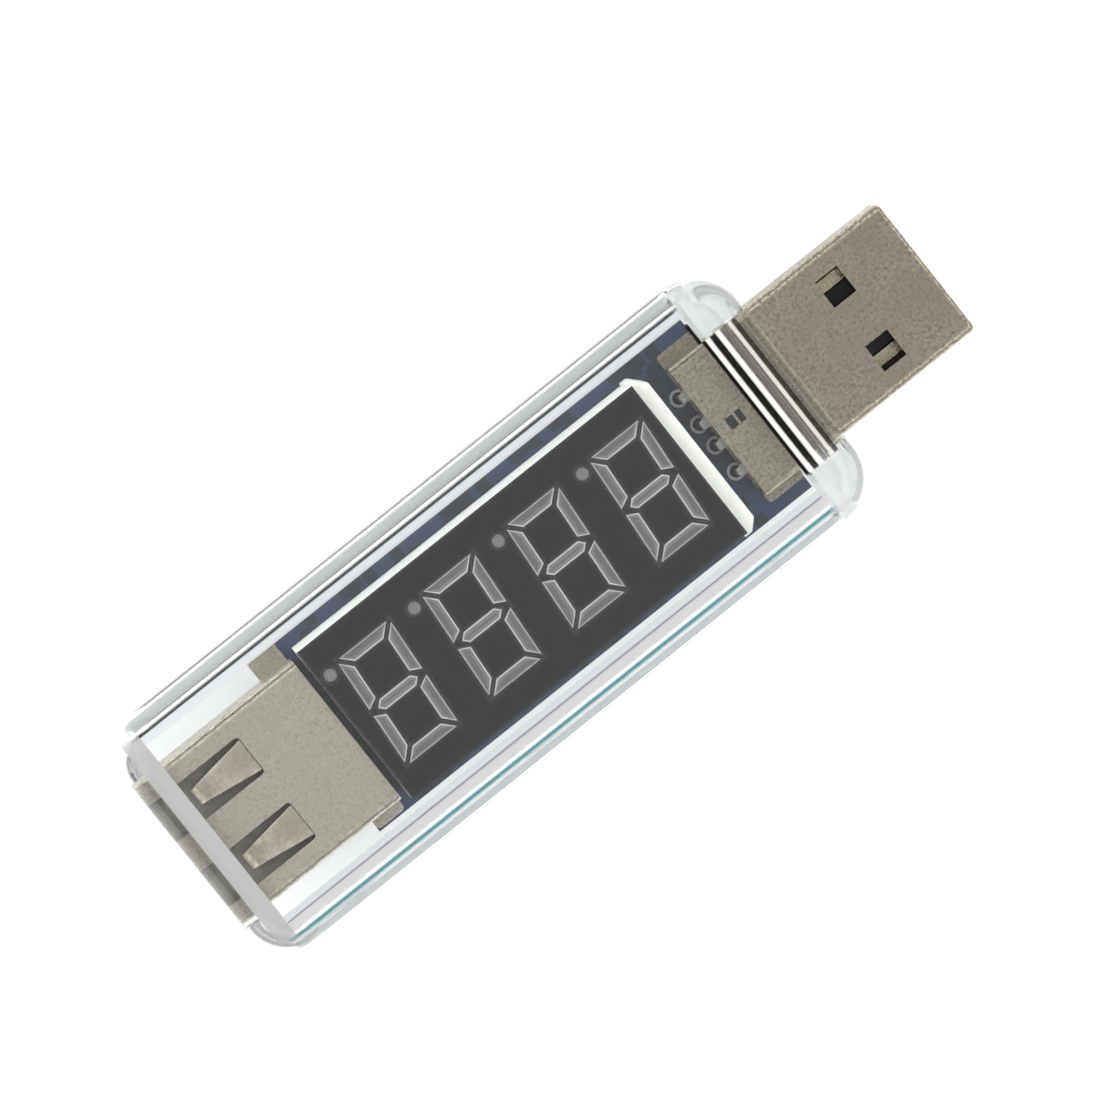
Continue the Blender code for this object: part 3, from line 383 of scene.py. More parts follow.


# The bands below are painted light and shade on the case's top skin: the pale and grey ones are painted
# highlights and reflections of the round edges and upright walls, the dark ones painted shade in the gaps by
# the plug and at the board's end.
SIDE_ENDS = (-33.2 * MM, 18.4 * MM)
RIGHT_SIDE = Bands(
    "Y",
    (
        (-10.55 * MM, -9.95 * MM, "a0a4a6", 0.8),
        (-9.9 * MM, -9.64 * MM, "d0d2d2", 0.6),
        (-9.6 * MM, -9.34 * MM, "437e86", 0.85),
        (-9.3 * MM, -9.06 * MM, "d8dadc", 0.8),
        (-9.02 * MM, -8.36 * MM, "b6b4b6", 0.7),
        (-8.32 * MM, -8.2 * MM, "6f7076", 0.75),
        (-8.14 * MM, -7.72 * MM, "b8babc", 0.8),
    ),
    *SIDE_ENDS,
    fade=1.2 * MM,
)
LEFT_SIDE = Bands(
    "Y",
    (
        (8.68 * MM, 9.3 * MM, "c2c5c7", 0.75),
        (9.34 * MM, 9.56 * MM, "121216", 0.92),
        (9.6 * MM, 9.88 * MM, "dcdcdc", 0.92),
        (9.9 * MM, 10.7 * MM, "9c9f9f", 0.88),
    ),
    *SIDE_ENDS,
    fade=1.2 * MM,
)
SOCKET_END = Bands("X", ((-34.1 * MM, -32.6 * MM, "a2a3a2", 0.92),), -9.4 * MM, 9.6 * MM, fade=1.0 * MM)
PLUG_END = Bands(
    "X",
    (
        (18.38 * MM, 18.62 * MM, "0a0908", 0.96),
        (18.67 * MM, 19.0 * MM, "d6d4d2", 0.93),
        (19.07 * MM, 19.52 * MM, "0c0b0a", 0.96),
        (19.6 * MM, 19.95 * MM, "d4d2d0", 0.93),
        (20.05 * MM, 20.67 * MM, "4c4a48", 0.45),
        (20.73 * MM, 21.02 * MM, "cfccc6", 0.9),
        (21.07 * MM, 21.45 * MM, "1e1b18", 0.85),
    ),
    -6.3 * MM,
    6.3 * MM,
    fade=0.2 * MM,
)
PLUG_CORNERS = tuple(
    Bands("X", ((18.45 * MM, 22.4 * MM, "bcbfbf", 0.48),), low * MM, high * MM, fade=0.3 * MM)
    for low, high in ((-10.4, -6.5), (6.5, 10.4))
)
# A painted dark line: painted shade at the board's end, seen through the clear top.
BOARD_END = Bands("X", ((18.1 * MM, 18.36 * MM, "0a0a0c", 0.9),), 6.3 * MM, 8.1 * MM, fade=0.2 * MM)


@dataclass(frozen=True)
class Moulded(Finish):
    """Moulded plastic, epoxy or fired ceramic: one colour with a faint mottle and a fine matt grain."""

    colour: str = "808080"
    mottle: str = "707070"
    mottle_size: float = 0.8 * MM
    grain: float = 0.12 * MM
    grain_depth: float = 0.004 * MM
    smooth: float = 0.4
    rough: float = 0.55
    scatter: float = 0.0
    shine: float = 0.5
    mottle_levels: tuple[float, float] = (0.35, 0.7)
    grain_strength: float = 0.7
    scatter_depth: float = 0.4 * MM

    def build(self) -> Material:
        """Returns the material."""
        material, tree, place = self.start()
        clouds = self.cloud(tree, place, self.mottle_size, self.mottle_levels, 3)
        colour = self.blend(tree, clouds, self.colour, self.mottle)
        settings = {"Vector": place, "Scale": per(self.grain), "Detail": 2.0}
        grains = add_node(tree, "ShaderNodeTexNoise", links=settings).outputs["Fac"]
        settings = {"Height": grains, "Distance": self.grain_depth, "Strength": self.grain_strength}
        bump = add_node(tree, "ShaderNodeBump", links=settings)
        settings = {"Value": clouds, "To Min": self.smooth, "To Max": self.rough}
        roughness = add_node(tree, "ShaderNodeMapRange", links=settings).outputs["Result"]
        shader = add_node(
            tree,
            "ShaderNodeBsdfPrincipled",
            links={
                "Base Color": colour,
                "Roughness": roughness,
                "Normal": bump.outputs["Normal"],
                "Specular IOR Level": self.shine,
                "Subsurface Weight": self.scatter,
                "Subsurface Scale": self.scatter_depth,
            },
        )
        self.end(tree, shader.outputs[0])
        return material


@dataclass(frozen=True)
class SolderMask(Finish):
    """Blue solder mask, sprayed and cured over etched copper.

    Copper under it shows as lighter, slightly raised runs with straight edges, and the lacquer is glossy.
    """

    colour: str = "161d2c"
    over_copper: str = "243552"
    run: float = 1.3 * MM
    run_edge: tuple[float, float] = (0.36, 0.39)
    relief: float = 0.01 * MM
    relief_strength: float = 0.4
    roughness: float = 0.32
    index: float = 1.5
    coat: float = 0.4
    coat_roughness: float = 0.12

    def build(self) -> Material:
        """Returns the material."""
        material, tree, place = self.start()
        cells = add_node(
            tree,
            "ShaderNodeTexVoronoi",
            {"feature": "F1", "distance": "CHEBYCHEV"},
            {"Vector": place, "Scale": per(self.run)},
        )
        low, high = self.run_edge
        settings = {"Value": cells.outputs["Distance"], "From Min": low, "From Max": high}
        copper = add_node(tree, "ShaderNodeMapRange", links=settings).outputs["Result"]
        colour = self.blend(tree, copper, self.colour, self.over_copper)
        settings = {"Height": copper, "Distance": self.relief, "Strength": self.relief_strength}
        bump = add_node(tree, "ShaderNodeBump", links=settings)
        shader = add_node(
            tree,
            "ShaderNodeBsdfPrincipled",
            links={
                "Base Color": colour,
                "Roughness": self.roughness,
                "IOR": self.index,
                "Normal": bump.outputs["Normal"],
                "Coat Weight": self.coat,
                "Coat Roughness": self.coat_roughness,
            },
        )
        self.end(tree, shader.outputs[0])
        return material


class Look(Enum):
    """The finishes that the pieces wear, each built once."""

    # Clear polycarbonate, injected in a polished mould: glossy, with grey, white and dark lines painted at
    # its edges: painted highlights, reflections and shade.
    CASE = ClearPlastic(
        "clear_polycarbonate", (RIGHT_SIDE, LEFT_SIDE, *PLUG_CORNERS, SOCKET_END, PLUG_END, BOARD_END)
    )
    # Nickel-plated steel sheet, punched and folded: warm grey, softly glossy, with a fine dark mottle.
    SHELL = SheetMetal("nickel_plated_steel")
    # The same plating, drawn darker and browner than the shell, with finer specks.
    PLUG = SheetMetal("darker_nickel", bright="bdb5a4", dull="82796b", cloudy="988f7f", speck=0.28 * MM)
    # Plated spring steel, bent after plating: a shade darker than the shell round it.
    SPRING = SheetMetal(
        "bowed_spring_steel", bright="bfb7a8", dull="a09888", cloudy="ada595", smooth=0.3, rough=0.42
    )
    # Phosphor bronze with a flash of gold, stamped: pale yellow and glossy.
    GOLD = SheetMetal(
        "gold_flashed_bronze",
        bright="cfc6ac",
        dull="aea58b",
        cloudy="beb59a",
        speck=0.2 * MM,
        smooth=0.2,
        rough=0.32,
    )
    # Brass dipped in molten tin: a neutral light grey with soft dark specks.
    TIN = SheetMetal("hot_tinned_brass", bright="d2d2ce", dull="b4b4b0", cloudy="c0c0bb", speck=0.25 * MM)
    # Tin-lead solder, set from the melt: bright and smooth, with cool grey patches.
    SOLDER = SheetMetal(
        "solder", bright="d6d8d8", dull="b2b4b6", cloudy="c4c6c8", speck=0.3 * MM, smooth=0.16, rough=0.3
    )
    # Black screen-printing ink: almost black and matt, with a fine grain.
    INK = Moulded("black_ink", colour="171518", mottle="0f0e10", smooth=0.5, rough=0.6)
    # Dark grey face ink, printed thin on the housing: very dark, with a faint sheen.
    FILM = Moulded(
        "grey_printed_face",
        colour="17171a",
        mottle="121214",
        mottle_size=0.5 * MM,
        grain=0.3 * MM,
        grain_depth=0.001 * MM,
        smooth=0.42,
        rough=0.55,
        shine=0.15,
    )
    # Milky epoxy poured into the windows, at its rim: light grey, as it climbs the window's white wall.
    RIM = Moulded("segment_rim_resin", colour="b0b0ab", mottle="a4a4a0", smooth=0.35, rough=0.45)
    # The same epoxy further in: mid grey, slightly uneven where the filler settled.
    BAR = Moulded(
        "segment_resin", colour="6e6e6b", mottle="656562", mottle_size=0.4 * MM, smooth=0.35, rough=0.5
    )
    # The same epoxy over the dark light chip: the darkest grey, slightly sunken from curing.
    CORE = Moulded("segment_core_resin", colour="5a5a58", mottle="525250", smooth=0.4, rough=0.5)
    # White filled plastic, injected: warm white and matt, and light sinks in a little.
    HOUSING = Moulded(
        "white_moulded_housing", colour="e8e8e3", mottle="dfdfd9", smooth=0.4, rough=0.5, scatter=0.1
    )
    # Black glass-filled nylon, injected: almost black, with a faint sheen.
    BLACK_NYLON = Moulded("moulded_black_nylon", colour="242426", mottle="1c1c1e", smooth=0.4, rough=0.5)
    # The same nylon, drawn brownish grey and matt.
    DUSTY_NYLON = Moulded("brownish_grey_nylon", colour="6a665e", mottle="5d5a53", smooth=0.45, rough=0.6)
    # Glass cloth in epoxy, sawn: straw yellow with a mottle from the weave.
    SUBSTRATE = Moulded("glass_epoxy_board", colour="b7a86a", mottle="a2945a", mottle_size=0.3 * MM)
    # Blue solder mask, sprayed over copper: dark blue and glossy, lighter over the copper runs.
    MASK = SolderMask("blue_solder_mask")
    # Black epoxy, transfer-moulded round a chip: charcoal and matt.
    EPOXY = Moulded("black_epoxy", colour="1f1f21", mottle="18181a", smooth=0.45, rough=0.6)
    # Barium titanate ceramic, pressed and fired: tan and matt.
    CERAMIC = Moulded("fired_ceramic", colour="a98559", mottle="9a774d", smooth=0.45, rough=0.6)
    # Tin on a copper ring, levelled by hot air: a pale even grey.
    RING = Moulded("tinned_ring", colour="cfd1d1", mottle="b4b6b6", smooth=0.3, rough=0.45)

    def material(self) -> Material:
        """The material, built at its first use."""
        return bpy.data.materials.get(self.value.name) or self.value.build()


# Mesh helpers


def new_block(low: Iterable[float], high: Iterable[float]) -> Shape:
    """A box between two corners.

    Args:
        low: its lowest corner.
        high: its highest corner.

    Returns:
        A new bmesh.
    """
    bm = bmesh.new()
    add_block(bm, low, high)
    return bm


def add_block(bm: Shape, low: Iterable[float], high: Iterable[float]) -> list[Vert]:
    """Adds a box between two corners to a bmesh and returns its vertices."""
    low, high = Vector(low), Vector(high)
    place = Matrix.Translation((low + high) / 2) @ Matrix.Diagonal((*(high - low), 1.0))
    return bmesh.ops.create_cube(bm, size=1.0, matrix=place)["verts"]


def round_edges(bm: Shape, edges: list[Edge], radius: float, segments: int) -> None:
    """Rounds edges to a radius."""
    bmesh.ops.bevel(
        bm,
        geom=edges,
        offset=radius,
        offset_type="OFFSET",
        affect="EDGES",
        segments=segments,
        profile=0.5,
        material=-1,
        clamp_overlap=True,
    )


def edges_along(bm: Shape, axis: int) -> list[Edge]:
    """The edges that run along one axis."""
    others = [i for i in range(3) if i != axis]
    return [e for e in bm.edges if all(abs(e.verts[0].co[i] - e.verts[1].co[i]) < TINY for i in others)]


def edges_at(bm: Shape, axis: int, value: float) -> list[Edge]:
    """The edges in the plane where one coordinate has this value."""
    return [e for e in bm.edges if all(abs(v.co[axis] - value) < TINY for v in e.verts)]


def faces_at(bm: Shape, axis: int, value: float) -> list[Face]:
    """The faces in the plane where one coordinate has this value."""
    return [f for f in bm.faces if all(abs(v.co[axis] - value) < TINY for v in f.verts)]


def rounded_block(
    low: Iterable[float],
    high: Iterable[float],
    plan: float,
    edge: float,
    segments: int,
    ends: tuple[float, ...],
) -> Shape:
    """A block with round corners in plan, and round edges at some heights.

    Args:
        low: its lowest corner.
        high: its highest corner.
        plan: the radius of its upright corners.
        edge: the radius of its level edges.
        segments: how many flats make a quarter turn.
        ends: the heights whose edges are round.

    Returns:
        A new bmesh.
    """
    bm = new_block(low, high)
    round_edges(bm, edges_along(bm, 2), plan, segments)
    for height in ends:
        round_edges(bm, edges_at(bm, 2, height), edge, segments)
    return bm


def new_item(name: str, bm: Shape, *looks: Look) -> Item:
    """Turns a bmesh into an object at the origin.

    Args:
        name: the object's name.
        bm: the shape, which is freed.
        looks: the finishes of its material slots.

    Returns:
        The object.
    """
    mesh = bpy.data.meshes.new(name)
    bm.to_mesh(mesh)
    bm.free()
    item = bpy.data.objects.new(name, mesh)
    bpy.context.scene.collection.objects.link(item)
    for look in looks:
        mesh.materials.append(look.material())
    return item


def freeze(item: Item) -> None:
    """Applies an object's modifiers to its mesh."""
    graph = bpy.context.evaluated_depsgraph_get()
    mesh = bpy.data.meshes.new_from_object(item.evaluated_get(graph))
    item.modifiers.clear()
    old, item.data = item.data, mesh
    bpy.data.meshes.remove(old)


def fold_sheet(item: Item, thickness: float, offset: int, even: bool = True) -> None:
    """Gives a bare surface the thickness of its sheet.

    Args:
        item: the object.
        thickness: the sheet's thickness.
        offset: -1 puts it all on the inner side, 0 half on each.
        even: whether corners keep the thickness too.
    """
    solid = item.modifiers.new("sheet", "SOLIDIFY")
    solid.thickness = thickness
    solid.offset = offset
    solid.use_even_offset = even
    freeze(item)


def cut_across(bm: Shape, axis: int, value: float) -> None:
    """Cuts every face along the plane where one coordinate has this value."""
    normal = Vector((0, 0, 0))
    normal[axis] = 1
    everything = bm.verts[:] + bm.edges[:] + bm.faces[:]
    bmesh.ops.bisect_plane(bm, geom=everything, plane_co=normal * value, plane_no=normal)


def combine(item: Item, bm: Shape, operation: str, *looks: Look, crossing: bool = False) -> None:
    """Cuts a shape out of an object, or joins it to it.

    Args:
        item: the object.
        bm: the other shape, which is freed.
        operation: DIFFERENCE or UNION.
        looks: the finishes of the other shape's faces.
        crossing: whether parts of the other shape run into each other.
    """
    bmesh.ops.recalc_face_normals(bm, faces=bm.faces)
    other = new_item("tool", bm, *looks)
    modifier = item.modifiers.new("tool", "BOOLEAN")
    modifier.operation = operation
    modifier.object = other
    modifier.material_mode = "TRANSFER"
    modifier.use_self = crossing
    freeze(item)
    bpy.data.objects.remove(other)


def soften(item: Item, width: float, segments: int = 2, degrees: float = 40) -> None:
    """Rounds an object's sharp edges and shades it smooth, with flat faces kept flat.

    Args:
        item: the object.
        width: the width of the rounding.
        segments: how many flats it has.
        degrees: the least angle that counts as sharp.
    """
    item.data.shade_smooth()
    bevel = item.modifiers.new("soft_edges", "BEVEL")
    bevel.width = width
    bevel.segments = segments
    bevel.limit_method = "ANGLE"
    bevel.angle_limit = math.radians(degrees)
    bevel.harden_normals = False
    normals = item.modifiers.new("flat_faces", "WEIGHTED_NORMAL")
    normals.weight = FLAT_WEIGHT
    normals.keep_sharp = True


def clean_copy(node: str, *looks: Look) -> Item:
    """A copy of a CAD node's mesh with its triangles merged back into faces.

    Args:
        node: the node's name.
        looks: the finishes of its slots.

    Returns:
        The copy, named after the node.
    """
    bm = bmesh.new()
    bm.from_mesh(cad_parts[node].data)
    for face in bm.faces:
        face.material_index = 0
    bmesh.ops.remove_doubles(bm, verts=bm.verts, dist=TINY)
    flat = math.radians(1)
    bmesh.ops.dissolve_limit(bm, angle_limit=flat, verts=bm.verts, edges=bm.edges)
    return new_item(f"{node}_finished", bm, *looks)


def settle(item: Item, nodes: tuple[str, ...] = (), body: str = "meter") -> None:
    """Puts a piece on its body, in place of CAD nodes.

    Args:
        item: the piece.
        nodes: the nodes that it stands for.
        body: the body that it rides on.
    """
    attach(item, body)
    if nodes:
        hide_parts(*nodes)
    log.info("%s rides on %s, %d faces", item.name, body, len(item.data.polygons))


def refine(node: str, slot: str, soft: float, *looks: Look, body: str = "meter", segments: int = 2) -> None:
    """Puts a clean copy of a CAD node, with soft edges, in its place.

    Args:
        node: the node's name.
        slot: the name of the record's material slot; not used.
        soft: the width of the rounding.
        looks: the finishes of its slots.
        body: the body that it rides on.
        segments: how many flats the rounding has.
    """
    item = clean_copy(node, *looks)
    soften(item, soft, segments)
    settle(item, (node,), body)


def paint(node: str, look: Look) -> None:
    """Gives a CAD node that stays in view its finish."""
    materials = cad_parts[node].data.materials
    materials.clear()
    materials.append(look.material())
    log.info("%s painted with %s", node, look.value.name)


def low_high(node: str) -> tuple[Vector, Vector]:
    """A CAD node's lowest and highest corner."""
    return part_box(node)


# Case


@dataclass
class ClearCase:
    """The two clear shells, which locate in each other with a lip all round."""

    plan_radius: float = 4.0 * MM
    edge_radius: float = 2.75 * MM
    side_wall: float = 1.5 * MM
    flat_wall: float = 1.2 * MM
    socket_end_wall: float = 2.0 * MM
    plug_end_wall: float = 2.1 * MM
    hollow_edge: float = 0.4 * MM
    lip: float = 0.6 * MM
    lip_gap: float = 0.05 * MM
    rib: tuple[float, float] = (18.8 * MM, 19.5 * MM)
    rail_inset: float = 1.0 * MM
    rail_top_gap: float = 0.05 * MM
    root: float = 0.3 * MM
    plug_play: float = 0.15 * MM
    mouth_play: float = 0.1 * MM
    past: float = 0.5 * MM
    sheet_room: float = 0.35 * MM
    mouth_half: float = 6.8 * MM
    soft: float = 0.1 * MM
    segments: int = 14

    def hollow(self, low_z: float, high_z: float, rounded: tuple[float, ...], spread: float = 0.0) -> Shape:
        """The inside of the case between two heights, or a block that much wider all round."""
        low, high = low_high("case_bottom")
        low = (low.x + self.socket_end_wall - spread, low.y + self.side_wall - spread, low_z)
        high = (high.x - self.plug_end_wall + spread, high.y - self.side_wall + spread, high_z)
        plan = self.plan_radius - self.side_wall + spread
        return rounded_block(low, high, plan, self.hollow_edge, self.segments, rounded)

    def rib_block(self, low_z: float, high_z: float) -> Shape:
        """The rib that the plug's solder feet stop against."""
        half = low_high("case_bottom")[1].y - self.side_wall + self.root
        return new_block((self.rib[0], -half, low_z), (self.rib[1], half, high_z))

    def openings(self) -> list[Shape]:
        """The holes for the plug and for the socket's mouth."""
        plug, mouth = low_high("plug_insulator"), low_high("socket_shell")
        shell = low_high("plug_shell")
        case_low, case_high = low_high("case_bottom")
        half = plug[1].y + self.sheet_room + self.plug_play
        plug_hole = new_block(
            (self.rib[0] - self.past, -half, shell[0].z - self.plug_play),
            (case_high.x + self.past, half, shell[1].z + self.plug_play),
        )
        half = self.mouth_half + self.mouth_play
        mouth_hole = new_block(
            (case_low.x - self.past, -half, mouth[0].z - self.mouth_play),
            (case_low.x + self.socket_end_wall + self.past, half, mouth[1].z + self.mouth_play),
        )
        return [plug_hole, mouth_hole]

    def build_bottom(self) -> None:
        """The lower shell, with its lip, rib and the rails under the board."""
        low, high = low_high("case_bottom")
        split = low_high("case_top")[0].z - self.lip_gap
        top = high.z
        corner = (high.x, high.y, split)
        bm = rounded_block(low, corner, self.plan_radius, self.edge_radius, self.segments, (low.z,))
        shell = new_item("case_bottom_shell", bm, Look.CASE)
        combine(shell, self.hollow(split - self.past, top, (), self.lip), "UNION", Look.CASE)
        inside = self.hollow(self.flat_wall, top + self.past, (self.flat_wall,))
        combine(shell, inside, "DIFFERENCE", Look.CASE)
        combine(shell, self.rib_block(self.flat_wall - self.root, split), "UNION", Look.CASE)
        board_low, board_high = low_high("circuit_board")
        outer = high.y - self.side_wall + self.root
        inner = board_high.y - self.rail_inset
        for side in (-1, 1):
            y = sorted((side * inner, side * outer))
            rail = new_block(
                (board_low.x, y[0], self.flat_wall - self.root),
                (self.rib[0] + self.root, y[1], board_low.z - self.rail_top_gap),
            )
            combine(shell, rail, "UNION", Look.CASE)
        for opening in self.openings():
            combine(shell, opening, "DIFFERENCE", Look.CASE)
        soften(shell, self.soft)
        settle(shell, ("case_bottom",))

    def build_top(self) -> None:
        """The upper shell, rebated for the lip."""
        low, high = low_high("case_top")
        lip_top = low_high("case_bottom")[1].z + self.lip_gap
        ceiling = high.z - self.flat_wall
        bm = rounded_block(low, high, self.plan_radius, self.edge_radius, self.segments, (high.z,))
        shell = new_item("case_top_shell", bm, Look.CASE)
        combine(shell, self.hollow(low.z - self.past, ceiling, (ceiling,)), "DIFFERENCE", Look.CASE)
        combine(shell, self.rib_block(low.z, ceiling + self.root), "UNION", Look.CASE)
        rebate = self.hollow(low.z - self.past, lip_top, (), self.lip + self.lip_gap)
        combine(shell, rebate, "DIFFERENCE", Look.CASE)
        for opening in self.openings():
            combine(shell, opening, "DIFFERENCE", Look.CASE)
        soften(shell, self.soft)
        settle(shell, ("case_top",))

    def build(self) -> None:
        """Builds both shells."""
        self.build_bottom()
        self.build_top()


# Display


@dataclass
class Display:
    """The LED display: white housing, printed face, and resin bars that fill its windows."""

    digits: int = 4
    pitch: float = 8.0 * MM
    from_middle: float = 0.15 * MM
    digit_width: float = 5.1 * MM
    digit_height: float = 9.5 * MM
    bar: float = 1.0 * MM
    gap: float = 0.28 * MM
    slant: float = math.radians(4.5)
    point_radius: float = 0.58 * MM
    point_aside: float = 0.6 * MM
    point_down: float = 0.6 * MM
    point_sides: int = 10
    clearance: float = 0.05 * MM
    outline: float = 0.2 * MM
    recess: float = 0.06 * MM
    rim: float = 0.13 * MM
    to_core: float = 0.25 * MM
    core_drop: float = 0.04 * MM
    border: float = 0.28 * MM
    slab: float = 1.0 * MM
    bezel: float = 1.15 * MM
    bezel_inset: float = 0.1 * MM
    bezel_corner: float = 0.8 * MM
    bezel_drop: float = 0.4 * MM
    overlap: float = 0.3 * MM
    past: float = 1.0 * MM
    roof: float = 1.5 * MM
    window_depth: float = 3.0 * MM
    print_height: float = 0.004 * MM
    print_soft: float = 0.02 * MM
    soft: float = 0.15 * MM

    def outlines(self) -> list[Outline]:
        """The outlines of one digit about its middle: seven bars and the point.

        Returns:
            Corner points of each outline, in metres.
        """
        half_w, half_h, bar = self.digit_width / 2, self.digit_height / 2, self.bar
        gap = self.gap / math.sqrt(2)
        top = [
            (-half_w + gap, half_h),
            (half_w - gap, half_h),
            (half_w - bar - gap, half_h - bar),
            (-half_w + bar + gap, half_h - bar),
        ]
        side = [
            (-half_w, half_h - gap),
            (-half_w + bar, half_h - bar - gap),
            (-half_w + bar, bar / 2 + gap),
            (-half_w, gap),
        ]
        tip = half_w - bar / 2 - gap / 2
        middle = [
            (-tip, 0.0),
            (-tip + bar / 2, bar / 2),
            (tip - bar / 2, bar / 2),
            (tip, 0.0),
            (tip - bar / 2, -bar / 2),
            (-tip + bar / 2, -bar / 2),
        ]
        other = [(-x, y) for x, y in side]
        bars = [top, middle, side, other]
        bars += [[(x, -y) for x, y in outline] for outline in (top, side, other)]
        slope = math.tan(self.slant)
        bars = [[(x + slope * y, y) for x, y in outline] for outline in bars]
        turns = [2 * math.pi * (i + 0.5) / self.point_sides for i in range(self.point_sides)]
        x, y = -half_w - self.point_aside, half_h - self.point_down
        point = [(x + self.point_radius * math.cos(a), y + self.point_radius * math.sin(a)) for a in turns]
        return [*bars, point]

    @staticmethod
    def moved_in(outline: Outline, distance: float) -> list[Vector]:
        """A convex outline with every side moved inwards, or outwards by a negative distance."""
        corners = [Vector(p) for p in outline]
        middle = sum(corners, Vector((0, 0))) / len(corners)
        sides = []
        for i, corner in enumerate(corners):
            along = (corners[(i + 1) % len(corners)] - corner).normalized()
            inward = Vector((-along.y, along.x))
            if inward.dot(middle - corner) < 0:
                inward = -inward
            sides.append((corner + inward * distance, along))
        moved = []
        for i, (start, along) in enumerate(sides):
            before, before_along = sides[i - 1]
            cross = before_along.x * along.y - before_along.y * along.x
            step = start - before
            moved.append(before + before_along * ((step.x * along.y - step.y * along.x) / cross))
        return moved

    def plates(self, inset: float, height: float) -> Shape:
        """Flat faces at one height on every bar and point of the display, their outlines moved inwards."""
        low, high = low_high("display_face")
        middle = (low.x + high.x) / 2
        bm = bmesh.new()
        for i in range(self.digits):
            x0 = middle + self.from_middle + (i - (self.digits - 1) / 2) * self.pitch
            for outline in self.outlines():
                corners = [bm.verts.new((p.x + x0, p.y, height)) for p in self.moved_in(outline, inset)]
                bm.faces.new(corners)
        bmesh.ops.recalc_face_normals(bm, faces=bm.faces)
        for face in bm.faces:
            if face.normal.z < 0:
                face.normal_flip()
        return bm

    def prisms(self, inset: float, low_z: float, high_z: float) -> Shape:
        """Prisms on every bar and point between two heights."""
        bm = self.plates(inset, high_z)
        raised = bmesh.ops.extrude_face_region(bm, geom=bm.faces[:], use_keep_orig=True)["geom"]
        verts = [g for g in raised if isinstance(g, Vert)]
        bmesh.ops.translate(bm, verts=verts, vec=(0, 0, low_z - high_z))
        bmesh.ops.recalc_face_normals(bm, faces=bm.faces)
        return bm

    def build_face(self) -> None:
        """The printed face with its windows, each in a black outline, and a black border."""
        low, high = low_high("display_face")
        face = new_item("display_face_print", new_block(low, high), Look.FILM, Look.INK)
        outlines = self.prisms(-self.outline, high.z - self.recess, high.z + self.slab)
        combine(face, outlines, "DIFFERENCE", Look.INK, crossing=True)
        combine(face, self.prisms(0.0, low.z - self.slab, high.z + self.slab), "DIFFERENCE", Look.INK)
        soften(face, self.print_soft, segments=1, degrees=50)
        settle(face, ("display_face",))
        bottom, top = high.z - self.recess / 2, high.z + self.print_height
        bm = new_block((low.x, low.y, bottom), (high.x, high.y, top))
        bmesh.ops.inset_individual(bm, faces=faces_at(bm, 2, top), thickness=self.border, depth=0)
        half_area = (high.x - low.x) * (high.y - low.y) / 2
        inner = [f for f in faces_at(bm, 2, top) if f.calc_area() > half_area]
        bmesh.ops.delete(bm, geom=inner, context="FACES")
        bmesh.ops.delete(bm, geom=faces_at(bm, 2, bottom), context="FACES")
        border = new_item("display_face_border", bm, Look.INK)
        settle(border)

    def build_bars(self) -> None:
        """The resin: a slab with a raised bar or point in every window."""
        low, high = low_high("segment_resin")
        bm = self.plates(self.clearance, high.z)
        bars = bm.faces[:]
        bmesh.ops.extrude_face_region(bm, geom=bars, use_keep_orig=True)
        raised = {v for f in bars for v in f.verts}
        lowered = [v for v in bm.verts if v not in raised]
        bmesh.ops.translate(bm, verts=lowered, vec=(0, 0, low.z + self.slab / 2 - high.z))
        bmesh.ops.recalc_face_normals(bm, faces=bm.faces)
        tops = faces_at(bm, 2, high.z)
        bmesh.ops.inset_individual(bm, faces=tops, thickness=self.rim, depth=0)
        tops = [f for f in tops if f.is_valid]
        for face in bm.faces:
            face.material_index = 0
        for face in tops:
            face.material_index = 1
        cores = [f for f in tops if len(f.verts) < self.point_sides]
        for point in (f for f in tops if len(f.verts) == self.point_sides):
            for rim in (f for e in point.edges for f in e.link_faces if f is not point):
                rim.material_index = 2
        bmesh.ops.inset_individual(bm, faces=cores, thickness=self.to_core, depth=-self.core_drop)
        for face in cores:
            if face.is_valid:
                face.material_index = 2
        add_block(bm, low, (high.x, high.y, low.z + self.slab))
        resin = new_item("segment_bars", bm, Look.RIM, Look.BAR, Look.CORE)
        settle(resin, ("segment_resin",))

    def build_housing(self) -> None:
        """The white housing, its edges slightly round from the mould."""
        low, high = low_high("display_housing")
        face_low, face_high = low_high("display_face")
        body = new_block((low.x, face_low.y, low.z), (face_high.x, face_high.y, high.z))
        housing = new_item("display_housing_body", body, Look.HOUSING)
        reach = high.y - self.bezel_inset
        bezel = new_block(
            (face_high.x - self.overlap, -reach, low.z),
            (face_high.x + self.bezel, reach, high.z - self.bezel_drop),
        )
        corners = [e for e in edges_along(bezel, 2) if e.verts[0].co.x > face_high.x]
        round_edges(bezel, corners, self.bezel_corner, 1)
        combine(housing, bezel, "UNION", Look.HOUSING)
        inner_low, inner_high = low_high("segment_resin")
        gap = self.clearance
        hollow = new_block(
            (inner_low.x - gap, inner_low.y - gap, low.z - self.past),
            (inner_high.x + gap, inner_high.y + gap, high.z - self.roof),
        )
        combine(housing, hollow, "DIFFERENCE", Look.HOUSING)
        windows = self.prisms(0.0, high.z - self.window_depth, high.z + self.past)
        combine(housing, windows, "DIFFERENCE", Look.HOUSING)
        soften(housing, self.soft, 3)
        settle(housing, ("display_housing",))

    def build(self) -> None:
        """Builds the display."""
        self.build_housing()
        self.build_face()
        self.build_bars()
        paint("display_substrate", Look.SUBSTRATE)
        for name in sorted(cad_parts):
            if name.startswith("display_pin_"):
                paint(name, Look.TIN)


# Plug


